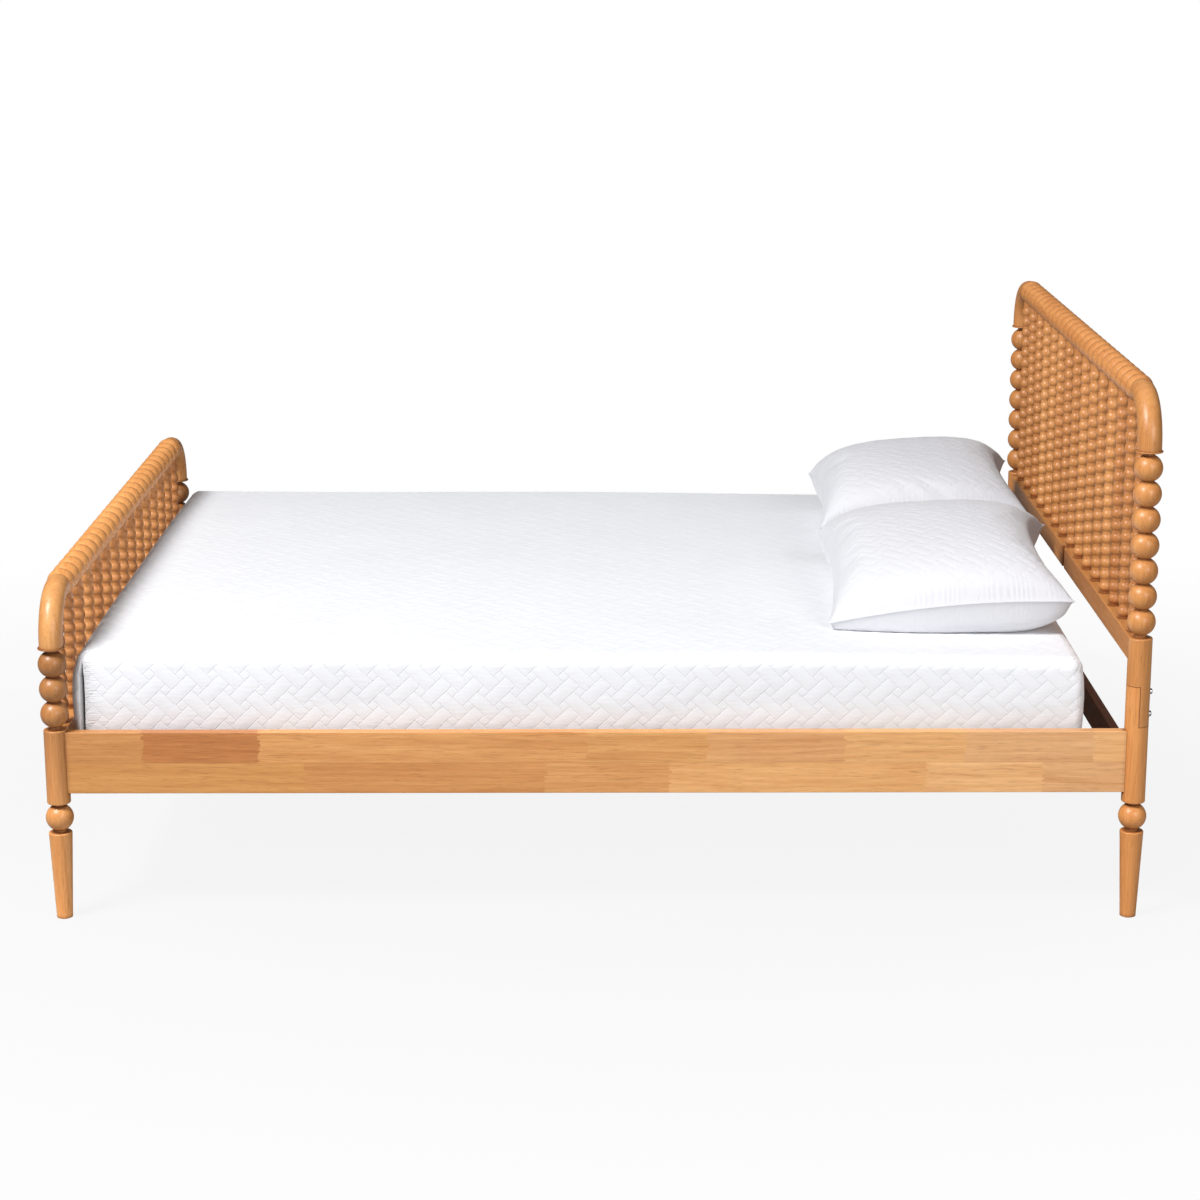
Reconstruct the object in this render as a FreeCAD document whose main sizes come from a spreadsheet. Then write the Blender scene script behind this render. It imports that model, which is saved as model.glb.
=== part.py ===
"""A queen-size platform bed with ball-turned posts, top rails and spindles.

Frame: X runs along the bed from foot to head, Y across it, Z up.
The origin is on the floor under the middle of the four posts.
Left and right are named as seen from the foot, looking towards the head.
"""
import FreeCAD, Part
import math
import os
import re

import Sketcher

Vector = FreeCAD.Vector
Rotation = FreeCAD.Rotation

SIZES = {
    # where the post axes stand
    "post_span_length": 2100,
    "post_span_width": 1568,
    # large turned balls on posts and top rails
    "ball_dia": 54.5,
    "neck_dia": 23,
    "neck_gap": 0.84,
    "rail_neck_gap": 1.6,
    "leg_neck": 5,
    "post_neck": 6.2,
    # posts and legs
    "block_dia": 46.2,
    "foot_tip_dia": 31.2,
    "taper_top": 179,
    "foot_block_top": 388.6,
    "head_block_top": 570.6,
    "ring_dia": 52.4,
    "ring_height": 3,
    "shoulder_round": 2.6,
    "ring_round": 1.1,
    "foot_ball_count": 3,
    "head_ball_count": 7,
    # bent elbows and their dowel joints
    "elbow_dia": 46.4,
    "elbow_radius": 90,
    "elbow_riser": 9,
    "elbow_least_run": 3,
    "dowel_dia": 19,
    "dowel_length": 32,
    # spindles
    "spindle_count": 15,
    "small_ball_dia": 27,
    "small_neck_dia": 20.5,
    "small_neck_gap": 7.73,
    "small_cove": 4.4,
    "spindle_foot_stub": 0.5,
    "spindle_pin_dia": 9,
    "spindle_pin_length": 15,
    "spindle_pin_reach": 14,
    # bottom rails of the two panels
    "panel_rail_height": 47,
    "panel_rail_thickness": 33,
    "panel_rail_drop": 7.6,
    "panel_rail_round": 2.5,
    "panel_tenon_thickness": 12,
    "panel_tenon_height": 30,
    "tenon_end_to_axis": 6.5,
    "housing_width": 24,
    "housing_depth": 4,
    # side rails
    "side_rail_bottom": 260,
    "side_rail_height": 124,
    "side_rail_thickness": 22,
    "side_rail_round": 1.5,
    "side_rail_seat": 19.6,
    # rail studs and cross nuts
    "stud_dia": 8,
    "stud_in_post": 26,
    "stud_in_rail": 54,
    "stud_edge": 30,
    "cross_nut_dia": 14,
    "cross_nut_length": 17,
    "cross_nut_from_end": 40,
    # lap joint between headboard posts and head legs
    "lap_bottom": 395,
    "lap_top": 475.4,
    "lap_gap": 0.5,
    "lap_bolt_dia": 6,
    "lap_bolt_low": 417,
    "lap_bolt_step": 45,
    "lap_bolt_reach": 12,
    "lap_head_dia": 11.5,
    "lap_head_height": 4,
    "lap_head_round": 2.2,
    "lap_washer_dia": 13.4,
    "lap_washer_height": 1.2,
    "lap_spot_dia": 14.4,
    "lap_spot_depth": 1.1,
    "insert_dia": 10,
    "insert_length": 14,
    # cross rails, centre beam and its hangers
    "cross_rail_height": 63,
    "cross_rail_thickness": 18,
    "cross_tenon_thickness": 8,
    "cross_tenon_height": 42,
    "beam_height": 50,
    "beam_width": 30,
    "hanger_plate": 2,
    "hanger_reach": 32,
    "hanger_height": 40,
    # centre legs and levelling feet
    "centre_leg_spacing": 900,
    "centre_leg_width": 40,
    "centre_leg_chamfer": 3,
    "centre_bolt_dia": 8,
    "centre_bolt_in_leg": 32,
    "centre_bolt_in_beam": 36,
    "leveller_dia": 32,
    "leveller_height": 8,
    "leveller_round": 2,
    "leveller_stem_dia": 8,
    "leveller_stem_length": 34,
    "leveller_gap": 0.3,
    # ledgers and slats
    "ledger_height": 30,
    "ledger_width": 22,
    "ledger_end_gap": 40,
    "slat_count": 13,
    "slat_width": 70,
    "slat_thickness": 15,
    "slat_end_gap": 3,
    "slat_end_margin": 75,
    "slat_round": 3,
    "slat_screw_dia": 4,
    "slat_screw_head_dia": 8,
    "slat_screw_head_height": 2.6,
    "slat_screw_length": 32,
    # glides under the four posts
    "glide_dia": 22,
    "glide_height": 2,
    # mattress and pillows
    "mattress_height": 196,
    "mattress_foot_gap": 40,
    "mattress_head_gap": 102,
    "mattress_side_gap": 11,
    "mattress_corner": 40,
    "mattress_edge": 34,
    "base_round_share": 0.6,
    "mattress_bulge": 6,
    "mattress_crown": 5,
    "pillow_length": 500,
    "pillow_width": 660,
    "pillow_height": 182,
    "pillow_gap": 4,
    "pillow_from_head": 320,
    "pillow_draw_in": 16,
    # fits and cuts
    "fit_gap": 0.15,
    "rest_gap": 0.3,
    "overrun": 20,
}

doc = FreeCAD.newDocument("platform_bed")
sheet = doc.addObject("Spreadsheet::Sheet", "sizes")
for row_number, (size_name, size_value) in enumerate(SIZES.items(), start=1):
    sheet.set(f"A{row_number}", size_name)
    sheet.set(f"B{row_number}", str(size_value))
    sheet.setAlias(f"B{row_number}", size_name)
doc.recompute()


# helpers that write sizes as expressions of the sheet

def cells(expression):
    """Point every size name in an expression at its cell."""
    return re.sub(r"[a-z_]+", lambda word: f"sizes.{word[0]}" if word[0] in SIZES else word[0], expression)


def size(expression):
    """The value of an expression in millimetres."""
    return float(sheet.evalExpression(cells(expression)))


def bind(item, name, expression):
    """Tie one property to the sheet."""
    item.setExpression(name, cells(expression))


def put(item, x="0", y="0", z="0"):
    """Tie the place of a body or feature to the sheet."""
    bind(item, "Placement.Base.x", x)
    bind(item, "Placement.Base.y", y)
    bind(item, "Placement.Base.z", z)


# places that several pieces share
HALF_LENGTH = "post_span_length/2"
HALF_WIDTH = "post_span_width/2"
BALL_CHORD = "sqrt(ball_dia^2 - neck_dia^2)"
BALL_PITCH = f"({BALL_CHORD} + neck_gap)"
BEAD_PITCH = f"({BALL_CHORD} + rail_neck_gap)"
SMALL_CHORD = "sqrt(small_ball_dia^2 - small_neck_dia^2)"
SMALL_PITCH = f"({SMALL_CHORD} + small_neck_gap)"
LEG_BALL = f"taper_top + leg_neck + {BALL_CHORD}/2"
BLOCK_BOTTOM = f"taper_top + 2*leg_neck + {BALL_CHORD}"
SIDE_RAIL_TOP = "side_rail_bottom + side_rail_height"
SLAT_SEAT = "side_rail_bottom + cross_rail_height"
SLAT_TOP = f"{SLAT_SEAT} + slat_thickness"
RAIL_END = f"{HALF_LENGTH} - side_rail_seat"
RAIL_INNER = f"{HALF_WIDTH} - side_rail_thickness/2"
STUD_LOW = "side_rail_bottom + stud_edge"
STUD_STEP = "side_rail_height - 2*stud_edge"
LEDGER_LENGTH = "post_span_length - 2*ledger_end_gap"
SLAT_PITCH = f"({LEDGER_LENGTH} - slat_width - 2*slat_end_margin)/(slat_count - 1)"
SLAT_SCREW_Y = f"{RAIL_INNER} - ledger_width/2"
LAP_SEAT = "block_dia/2 - lap_spot_depth"
BEAM_BOTTOM = f"{SLAT_SEAT} - beam_height"
CENTRE_LEG_BOTTOM = "leveller_height + leveller_gap"
BEAD_COUNT = int(size(f"(post_span_width - 2*elbow_radius - 2*elbow_least_run)/{BEAD_PITCH}"))
RAIL_HALF = f"{BEAD_PITCH}*{BEAD_COUNT}/2"
LAST_SPINDLE = f"({RAIL_HALF} + {BEAD_PITCH}/2)"
SPINDLE_PITCH = f"2*{LAST_SPINDLE}/(spindle_count - 1)"


def ring_bottom(block_top, count):
    """Height at which the ring over a row of balls starts."""
    return f"{block_top} + 2*post_neck + {BALL_CHORD} + {BALL_PITCH}*({count} - 1)"


def rail_axis(block_top, count):
    """Height of the top rail over a row of balls."""
    return f"{ring_bottom(block_top, count)} + ring_height + elbow_riser + elbow_radius"


FOOT_RAIL_Z = rail_axis("foot_block_top", "foot_ball_count")
HEAD_RAIL_Z = rail_axis("head_block_top", "head_ball_count")


# helpers that make features

def new_body(name, x="0", y="0", z="0", turn=None):
    """Start a sub-part at its place in the bed."""
    body = doc.addObject("PartDesign::Body", name)
    body.Label = name
    if turn:
        body.Placement = FreeCAD.Placement(Vector(), turn)
    put(body, x, y, z)
    return body


def origin_item(body, role):
    """One of the body's own planes or axes."""
    return next(item for item in body.Origin.OriginFeatures if item.Role == role)


def box(body, name, low, high, cut=False):
    """A block between two opposite corners."""
    kind = "PartDesign::SubtractiveBox" if cut else "PartDesign::AdditiveBox"
    item = body.newObject(kind, name)
    starts = []
    for side, first, last in zip(("Length", "Width", "Height"), low, high):
        if size(first) > size(last):
            first, last = last, first
        starts.append(first)
        bind(item, side, f"({last}) - ({first})")
    put(item, *starts)
    return item


AXIS_TURNS = {
    "x": Rotation(Vector(0, 1, 0), 90),
    "y": Rotation(Vector(1, 0, 0), -90),
    "z": Rotation(),
}


def rod(body, name, axis, start, length, diameter, cut=False):
    """A round bar or bore that runs from a start point along an axis."""
    kind = "PartDesign::SubtractiveCylinder" if cut else "PartDesign::AdditiveCylinder"
    item = body.newObject(kind, name)
    item.Placement = FreeCAD.Placement(Vector(), AXIS_TURNS[axis])
    bind(item, "Radius", f"({diameter})/2")
    bind(item, "Height", length)
    put(item, *start)
    return item


def cone(body, name, start, length, low_dia, high_dia, cut=False):
    """An upright cone between two diameters."""
    kind = "PartDesign::SubtractiveCone" if cut else "PartDesign::AdditiveCone"
    item = body.newObject(kind, name)
    bind(item, "Radius1", f"({low_dia})/2")
    bind(item, "Radius2", f"({high_dia})/2")
    bind(item, "Height", length)
    put(item, *start)
    return item


def repeat(body, name, axis, step, count, feature=None):
    """Repeat one feature, or the whole piece, in a straight row."""
    if not feature:
        doc.recompute()
    pattern = body.newObject("PartDesign::LinearPattern", name)
    if feature:
        pattern.Originals = [feature]
    else:
        pattern.TransformMode = "Whole shape"
    pattern.Direction = (origin_item(body, f"{axis.upper()}_Axis"), [""])
    bind(pattern, "Length", f"({step})*({count} - 1)")
    bind(pattern, "Occurrences", str(count))
    body.Tip = pattern
    return pattern


def soften(body, name, radius, picks):
    """Round the edges that a test picks from the piece so far."""
    doc.recompute()
    base = body.Tip
    chosen = [f"Edge{k}" for k, edge in enumerate(base.Shape.Edges, start=1) if picks(edge)]
    rounding = body.newObject("PartDesign::Fillet", name)
    rounding.Base = (base, chosen)
    bind(rounding, "Radius", radius)
    body.Tip = rounding
    return rounding


NEAR = 0.01


def rims(*spots):
    """A test for the round edges with these diameters at these heights."""
    wanted = [(size(f"({diameter})/2"), size(height)) for diameter, height in spots]

    def picks(edge):
        if not isinstance(edge.Curve, Part.Circle):
            return False
        found = (edge.Curve.Radius, edge.Curve.Center.z)
        return any(math.dist(found, spot) < NEAR for spot in wanted)

    return picks


def edges_along(direction):
    """A test for straight edges that run in one direction."""
    def picks(edge):
        if not isinstance(edge.Curve, (Part.Line, Part.LineSegment)):
            return False
        return abs(abs(edge.tangentAt(edge.FirstParameter).dot(direction)) - 1) < NEAR

    return picks


BALL = "ball"


def turned(body, name, outline):
    """Turn a lathe outline about the body's upright axis.

    A stop of the outline is (diameter, height), and a ball is (BALL, diameter, height of its middle).
    A ball swells from the diameter of the stop before it.
    """
    sketch = body.newObject("Sketcher::SketchObject", f"{name}_outline")
    sketch.AttachmentSupport = (origin_item(body, "XZ_Plane"), [""])
    sketch.MapMode = "FlatFace"
    curves, limits, bound, ball_radii = [], [], [], {}
    limit = Sketcher.Constraint

    def hold(kind, *where):
        limits.append(limit(kind, *where))

    def measure(expression, kind, *where):
        bound.append((len(limits), expression))
        limits.append(limit(kind, *where, size(expression)))

    foot_dia, foot_height = outline[0]
    at = Vector(0, size(foot_height), 0)
    dia, height = None, foot_height
    for step in outline:
        number = len(curves)
        if step[0] == BALL:
            _, ball_dia, middle = step
            radius, centre = size(f"{ball_dia}/2"), Vector(0, size(middle), 0)
            angle = math.acos(at.x/radius)
            start = Vector(at.x, centre.y - radius*math.sin(angle), 0)
            curves.append(Part.LineSegment(at, start))
            curves.append(Part.ArcOfCircle(Part.Circle(centre, Vector(0, 0, 1), radius), -angle, angle))
            hold("Vertical", number)
            hold("Vertical", number + 1, 1, number + 1, 2)
            hold("PointOnObject", number + 1, 3, -2)
            measure(middle, "DistanceY", -1, 1, number + 1, 3)
            if ball_dia in ball_radii:
                hold("Equal", ball_radii[ball_dia], number + 1)
            else:
                measure(f"{ball_dia}/2", "Radius", number + 1)
                ball_radii[ball_dia] = number + 1
            at, height = Vector(at.x, centre.y + radius*math.sin(angle), 0), None
            continue
        new_dia, new_height = step
        end = Vector(size(f"({new_dia})/2"), size(new_height), 0)
        curves.append(Part.LineSegment(at, end))
        if new_dia == dia:
            hold("Vertical", number)
        else:
            measure(f"({new_dia})/2", "DistanceX", -1, 1, number, 2)
        if new_height == height:
            hold("Horizontal", number)
        else:
            measure(new_height, "DistanceY", -1, 1, number, 2)
        at, dia, height = end, new_dia, new_height
    top = Vector(0, at.y, 0)
    last = len(curves)
    curves.append(Part.LineSegment(at, top))
    curves.append(Part.LineSegment(top, Vector(0, size(foot_height), 0)))
    hold("Horizontal", last)
    hold("PointOnObject", last, 2, -2)
    hold("PointOnObject", 0, 1, -2)
    if size(foot_height):
        measure(foot_height, "DistanceY", -1, 1, 0, 1)
    else:
        hold("PointOnObject", 0, 1, -1)
    for number in range(len(curves)):
        hold("Coincident", number, 2, (number + 1) % len(curves), 1)
    sketch.addGeometry(curves, False)
    sketch.addConstraint(limits)
    for number, expression in bound:
        bind(sketch, f"Constraints[{number}]", expression)
    turning = body.newObject("PartDesign::Revolution", name)
    turning.Profile = sketch
    turning.ReferenceAxis = (origin_item(body, "Z_Axis"), [""])
    turning.Angle = 360
    body.Tip = turning
    return turning


# posts and legs

SIDES = (("left", 1), ("right", -1))


def leg_outline():
    """Tapered foot, single ball and the start of the plain block."""
    return [
        ("foot_tip_dia", "glide_height"),
        ("block_dia", "taper_top"),
        ("neck_dia", "taper_top"),
        (BALL, "ball_dia", LEG_BALL),
        ("neck_dia", BLOCK_BOTTOM),
        ("block_dia", BLOCK_BOTTOM),
    ]


def ball_outline(block_top, count):
    """Top of the block, the row of balls, the ring and the dowel over it."""
    ring = ring_bottom(block_top, count)
    outline = [("block_dia", block_top), ("neck_dia", block_top)]
    for number in range(int(size(count))):
        middle = f"{block_top} + post_neck + {BALL_CHORD}/2 + {BALL_PITCH}*{number}"
        outline.append((BALL, "ball_dia", middle))
    return outline + [
        ("neck_dia", ring),
        ("ring_dia", ring),
        ("ring_dia", f"{ring} + ring_height"),
        ("dowel_dia", f"{ring} + ring_height"),
        ("dowel_dia", f"{ring} + ring_height + dowel_length"),
    ]


def leg_rims():
    """The rounded shoulders on either side of the leg's ball."""
    return [("block_dia", "taper_top"), ("block_dia", BLOCK_BOTTOM)]


def ring_rims(block_top, count):
    """Both rims of the ring."""
    ring = ring_bottom(block_top, count)
    return [("ring_dia", ring), ("ring_dia", f"{ring} + ring_height")]


def cut_side_rail_seat(body, towards):
    """Flat notch for the end of a side rail, with the bores for its two studs."""
    half = "side_rail_thickness/2 + fit_gap"
    low = (f"{towards}*side_rail_seat", f"-({half})", "side_rail_bottom - fit_gap")
    high = (f"{towards}*(block_dia/2 + overrun)", half, f"{SIDE_RAIL_TOP} + fit_gap")
    box(body, "side_rail_notch", low, high, cut=True)
    inner = "side_rail_seat - stud_in_post - fit_gap"
    start = inner if towards > 0 else "-side_rail_seat - overrun"
    bore = rod(body, "stud_bore", "x", (start, "0", STUD_LOW), "stud_in_post + fit_gap + overrun",
               "stud_dia + 2*fit_gap", cut=True)
    repeat(body, "stud_bores", "z", STUD_STEP, 2, bore)


def cut_mortise(body, name, side, thickness, tenon_height, middle):
    """Mortise that faces the middle of the bed across its width."""
    half = f"{thickness}/2 + fit_gap"
    rise = f"({tenon_height}/2 + fit_gap)"
    low = (f"-({half})", f"{-side}*(tenon_end_to_axis - fit_gap)", f"{middle} - {rise}")
    high = (half, f"{-side}*(block_dia/2 + overrun)", f"{middle} + {rise}")
    box(body, name, low, high, cut=True)


def cut_cross_mortise(body, side):
    """Mortise for the tenon of a cross rail."""
    cut_mortise(body, "cross_rail_mortise", side, "cross_tenon_thickness", "cross_tenon_height",
                CROSS_RAIL_MIDDLE)


def cut_panel_mortise(body, side, top):
    """Mortise for the tenon of a panel's bottom rail."""
    cut_mortise(body, "panel_rail_mortise", side, "panel_tenon_thickness", "panel_tenon_height",
                f"{top} - panel_rail_height/2")


CROSS_RAIL_MIDDLE = "side_rail_bottom + cross_rail_height/2"
FOOT_PANEL_TOP = "foot_block_top - panel_rail_drop"
HEAD_PANEL_TOP = "head_block_top - panel_rail_drop"


def foot_post(name, side):
    """One-piece foot post: tapered leg, block and three balls."""
    body = new_body(name, f"-{HALF_LENGTH}", f"{side}*{HALF_WIDTH}")
    turned(body, "turning", leg_outline() + ball_outline("foot_block_top", "foot_ball_count"))
    soften(body, "shoulders", "shoulder_round", rims(*leg_rims(), ("block_dia", "foot_block_top")))
    soften(body, "ring_edges", "ring_round", rims(*ring_rims("foot_block_top", "foot_ball_count")))
    cut_side_rail_seat(body, 1)
    cut_cross_mortise(body, side)
    cut_panel_mortise(body, side, FOOT_PANEL_TOP)


def head_leg(name, side):
    """Head leg up to its half-lap tongue, which faces the mattress."""
    body = new_body(name, HALF_LENGTH, f"{side}*{HALF_WIDTH}")
    turned(body, "turning", leg_outline() + [("block_dia", "lap_top")])
    soften(body, "shoulders", "shoulder_round", rims(*leg_rims()))
    box(body, "lap_cut", ("-lap_gap/2", "-block_dia", "lap_bottom - lap_gap"),
        ("block_dia", "block_dia", "lap_top + overrun"), cut=True)
    cut_side_rail_seat(body, -1)
    cut_cross_mortise(body, side)
    bore = rod(body, "insert_bore", "x", ("-lap_gap/2 - insert_length - fit_gap", "0", "lap_bolt_low"),
               "insert_length + fit_gap + overrun", "insert_dia + 2*fit_gap", cut=True)
    repeat(body, "insert_bores", "z", "lap_bolt_step", 2, bore)


def headboard_post(name, side):
    """Headboard post: half-lap tongue at the back, block and seven balls."""
    body = new_body(name, HALF_LENGTH, f"{side}*{HALF_WIDTH}")
    turned(body, "turning", [("block_dia", "lap_bottom")] + ball_outline("head_block_top", "head_ball_count"))
    soften(body, "shoulders", "shoulder_round", rims(("block_dia", "head_block_top")))
    soften(body, "ring_edges", "ring_round", rims(*ring_rims("head_block_top", "head_ball_count")))
    box(body, "lap_cut", ("-block_dia", "-block_dia", "lap_bottom - overrun"),
        ("lap_gap/2", "block_dia", "lap_top + lap_gap"), cut=True)
    cut_panel_mortise(body, side, HEAD_PANEL_TOP)
    bore = rod(body, "lap_bore", "x", ("-overrun", "0", "lap_bolt_low"), "block_dia + overrun",
               "lap_bolt_dia + 2*fit_gap", cut=True)
    repeat(body, "lap_bores", "z", "lap_bolt_step", 2, bore)
    spot = rod(body, "lap_spot", "x", (LAP_SEAT, "0", "lap_bolt_low"), "overrun", "lap_spot_dia", cut=True)
    repeat(body, "lap_spots", "z", "lap_bolt_step", 2, spot)


# elbows, top rails, spindles and bottom rails of the two panels

def elbow(name, end_x, side, base):
    """Quarter bend between a post and the top rail."""
    turn = None if side > 0 else Rotation(Vector(0, 0, 1), 180)
    body = new_body(name, end_x, f"{side}*{HALF_WIDTH}", base, turn)
    run = f"{HALF_WIDTH} - elbow_radius - {RAIL_HALF}"
    rail_end = f"-elbow_radius - ({run})"
    level = "elbow_riser + elbow_radius"
    rod(body, "riser", "z", ("0", "0", "0"), "elbow_riser", "elbow_dia")
    bend = body.newObject("PartDesign::AdditiveTorus", "bend")
    upright = Rotation(Vector(0, 1, 0), Vector(0, 0, 1), Vector(1, 0, 0), "ZXY")
    bend.Placement = FreeCAD.Placement(Vector(), upright)
    bend.Angle3 = 90
    bind(bend, "Radius1", "elbow_radius")
    bind(bend, "Radius2", "elbow_dia/2")
    put(bend, "0", "-elbow_radius", "elbow_riser")
    rod(body, "run", "y", ("0", rail_end, level), run, "elbow_dia")
    deep, wide = "overrun + dowel_length + fit_gap", "dowel_dia + 2*fit_gap"
    rod(body, "post_mortise", "z", ("0", "0", "-overrun"), deep, wide, cut=True)
    rod(body, "rail_mortise", "y", ("0", f"{rail_end} - overrun", level), deep, wide, cut=True)
    under = ("0", f"{LAST_SPINDLE} - {HALF_WIDTH}", f"{level} - ball_dia/2 - overrun")
    rod(body, "spindle_socket", "z", under, "overrun", "small_neck_dia + 2*fit_gap", cut=True)
    rod(body, "pin_bore", "z", under, "overrun + spindle_pin_reach + fit_gap",
        "spindle_pin_dia + 2*fit_gap", cut=True)


def top_rail(name, end_x, level):
    """String of turned balls across the bed, drilled from below for all but the end spindles."""
    body = new_body(name, end_x, f"-{RAIL_HALF} - dowel_length", level, AXIS_TURNS["y"])
    outline = [("dowel_dia", "0"), ("dowel_dia", "dowel_length"), ("neck_dia", "dowel_length")]
    for number in range(BEAD_COUNT):
        outline.append((BALL, "ball_dia", f"dowel_length + {BEAD_PITCH}*({number} + 1/2)"))
    rail_end = f"dowel_length + 2*{RAIL_HALF}"
    outline += [("neck_dia", rail_end), ("dowel_dia", rail_end), ("dowel_dia", f"{rail_end} + dowel_length")]
    turned(body, "turning", outline)
    first = f"dowel_length + {RAIL_HALF} - {LAST_SPINDLE} + {SPINDLE_PITCH}"
    top = "ball_dia/2 - spindle_pin_reach - fit_gap"
    bore = rod(body, "pin_bore", "y", ("0", top, first), f"ball_dia/2 + overrun - ({top})",
               "spindle_pin_dia + 2*fit_gap", cut=True)
    repeat(body, "pin_bores", "z", SPINDLE_PITCH, "spindle_count - 2", bore)


def spindles(name, end_x, seat, level):
    """The row of thin ball-turned spindles in one panel."""
    body = new_body(name, end_x, f"-{LAST_SPINDLE}", f"{seat} - spindle_pin_length")
    space = f"({level} - ball_dia/2 - rest_gap - ({seat}) - rest_gap)"
    count = int(size(f"({space} - spindle_foot_stub)/{SMALL_PITCH}"))
    low = "spindle_pin_length + rest_gap"
    outline = [("spindle_pin_dia", "0"), ("spindle_pin_dia", low), ("small_neck_dia", low)]
    necks = []
    for number in range(count):
        middle = f"{low} + spindle_foot_stub + {SMALL_PITCH}*({number} + 1/2)"
        outline.append((BALL, "small_ball_dia", middle))
        necks += [("small_neck_dia", f"{middle} {way} {SMALL_CHORD}/2") for way in ("-", "+")]
    high = f"{low} + {space}"
    pin_top = f"{high} + rest_gap + spindle_pin_reach"
    outline += [("small_neck_dia", high), ("spindle_pin_dia", high), ("spindle_pin_dia", pin_top)]
    turned(body, "turning", outline)
    soften(body, "coves", "small_cove", rims(*necks))
    repeat(body, "row", "y", SPINDLE_PITCH, "spindle_count")


def cope_ends(body, low, height):
    """Hollow both ends of a rail to the round of the posts."""
    for name, side in SIDES:
        start = ("0", f"{side}*{HALF_WIDTH}", f"{low} - overrun")
        rod(body, f"cope_{name}", "z", start, f"{height} + 2*overrun", "block_dia + 2*fit_gap", cut=True)


def tenoned_rail(name, end_x, low, height, thickness, tenon_thickness, tenon_height, corner):
    """Rail between two posts with hollowed ends and stub tenons."""
    body = new_body(name, end_x)
    box(body, "blank", (f"-{thickness}/2", f"-{HALF_WIDTH}", low),
        (f"{thickness}/2", HALF_WIDTH, f"{low} + {height}"))
    soften(body, "eased_edges", corner, edges_along(Vector(0, 1, 0)))
    cope_ends(body, low, height)
    reach = f"{HALF_WIDTH} - tenon_end_to_axis"
    middle = f"{low} + {height}/2"
    box(body, "tenons", (f"-{tenon_thickness}/2", f"-({reach})", f"{middle} - {tenon_height}/2"),
        (f"{tenon_thickness}/2", reach, f"{middle} + {tenon_height}/2"))
    return body


def panel_rail(name, end_x, top):
    """Bottom rail of a panel, drilled from above for the spindles."""
    low = f"{top} - panel_rail_height"
    body = tenoned_rail(name, end_x, low, "panel_rail_height", "panel_rail_thickness",
                        "panel_tenon_thickness", "panel_tenon_height", "panel_rail_round")
    bore = rod(body, "pin_bore", "z", ("0", f"-{LAST_SPINDLE}", f"{top} - spindle_pin_length - fit_gap"),
               "spindle_pin_length + fit_gap + overrun", "spindle_pin_dia + 2*fit_gap", cut=True)
    repeat(body, "pin_bores", "y", SPINDLE_PITCH, "spindle_count", bore)
    return body


def housing(body, top):
    """Shallow upright housing in the middle of a rail's inner face."""
    half = "housing_width/2"
    inner = "panel_rail_thickness/2"
    box(body, "housing", (f"-{inner} - overrun", f"-{half}", f"{top} - panel_rail_height - overrun"),
        (f"housing_depth - {inner}", half, f"{top} + overrun"), cut=True)


# rails and supports under the mattress

def side_rail(name, side):
    """Long side rail with bores for its studs and cross nuts in both ends."""
    body = new_body(name, "0", f"{side}*{HALF_WIDTH}")
    end = f"{RAIL_END} - fit_gap"
    box(body, "board", (f"-({end})", "-side_rail_thickness/2", "side_rail_bottom"),
        (end, "side_rail_thickness/2", SIDE_RAIL_TOP))
    soften(body, "eased_edges", "side_rail_round", edges_along(Vector(1, 0, 0)))
    depth = "side_rail_thickness/2 + cross_nut_length/2 + fit_gap"
    nut_start = f"side_rail_thickness/2 - ({depth})" if side < 0 else "-side_rail_thickness/2 - overrun"
    for name_end, way in (("head", 1), ("foot", -1)):
        inner = f"{way}*({RAIL_END} - stud_in_rail - fit_gap)"
        start = inner if way > 0 else f"{way}*({RAIL_END} + overrun)"
        stud = rod(body, f"stud_bore_{name_end}", "x", (start, "0", STUD_LOW),
                   "stud_in_rail + fit_gap + overrun", "stud_dia + 2*fit_gap", cut=True)
        repeat(body, f"stud_bores_{name_end}", "z", STUD_STEP, 2, stud)
        nut_place = (f"{way}*({RAIL_END} - cross_nut_from_end)", nut_start, STUD_LOW)
        nut = rod(body, f"nut_bore_{name_end}", "y", nut_place, f"{depth} + overrun",
                  "cross_nut_dia + 2*fit_gap", cut=True)
        repeat(body, f"nut_bores_{name_end}", "z", STUD_STEP, 2, nut)


def rail_studs(name):
    """Steel studs that draw the side rails against the posts."""
    middle = f"{RAIL_END} + (stud_in_post - stud_in_rail)/2"
    length = "stud_in_post + stud_in_rail"
    body = new_body(name, f"-({middle}) - ({length})/2", f"-{HALF_WIDTH}", STUD_LOW)
    rod(body, "stud", "x", ("0", "0", "0"), length, "stud_dia")
    repeat(body, "two_high", "z", STUD_STEP, 2)
    repeat(body, "two_sides", "y", "post_span_width", 2)
    repeat(body, "two_ends", "x", f"2*({middle})", 2)


def cross_nuts(name):
    """Round steel nuts set in the rails across the studs."""
    end = f"{RAIL_END} - cross_nut_from_end"
    body = new_body(name, f"-({end})", f"-{HALF_WIDTH}", STUD_LOW)
    rod(body, "nut", "y", ("0", "-cross_nut_length/2", "0"), "cross_nut_length", "cross_nut_dia")
    rod(body, "thread", "x", ("-overrun", "0", "0"), "2*overrun", "stud_dia + 2*fit_gap", cut=True)
    repeat(body, "two_high", "z", STUD_STEP, 2)
    repeat(body, "two_sides", "y", "post_span_width", 2)
    repeat(body, "two_ends", "x", f"2*({end})", 2)


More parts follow.
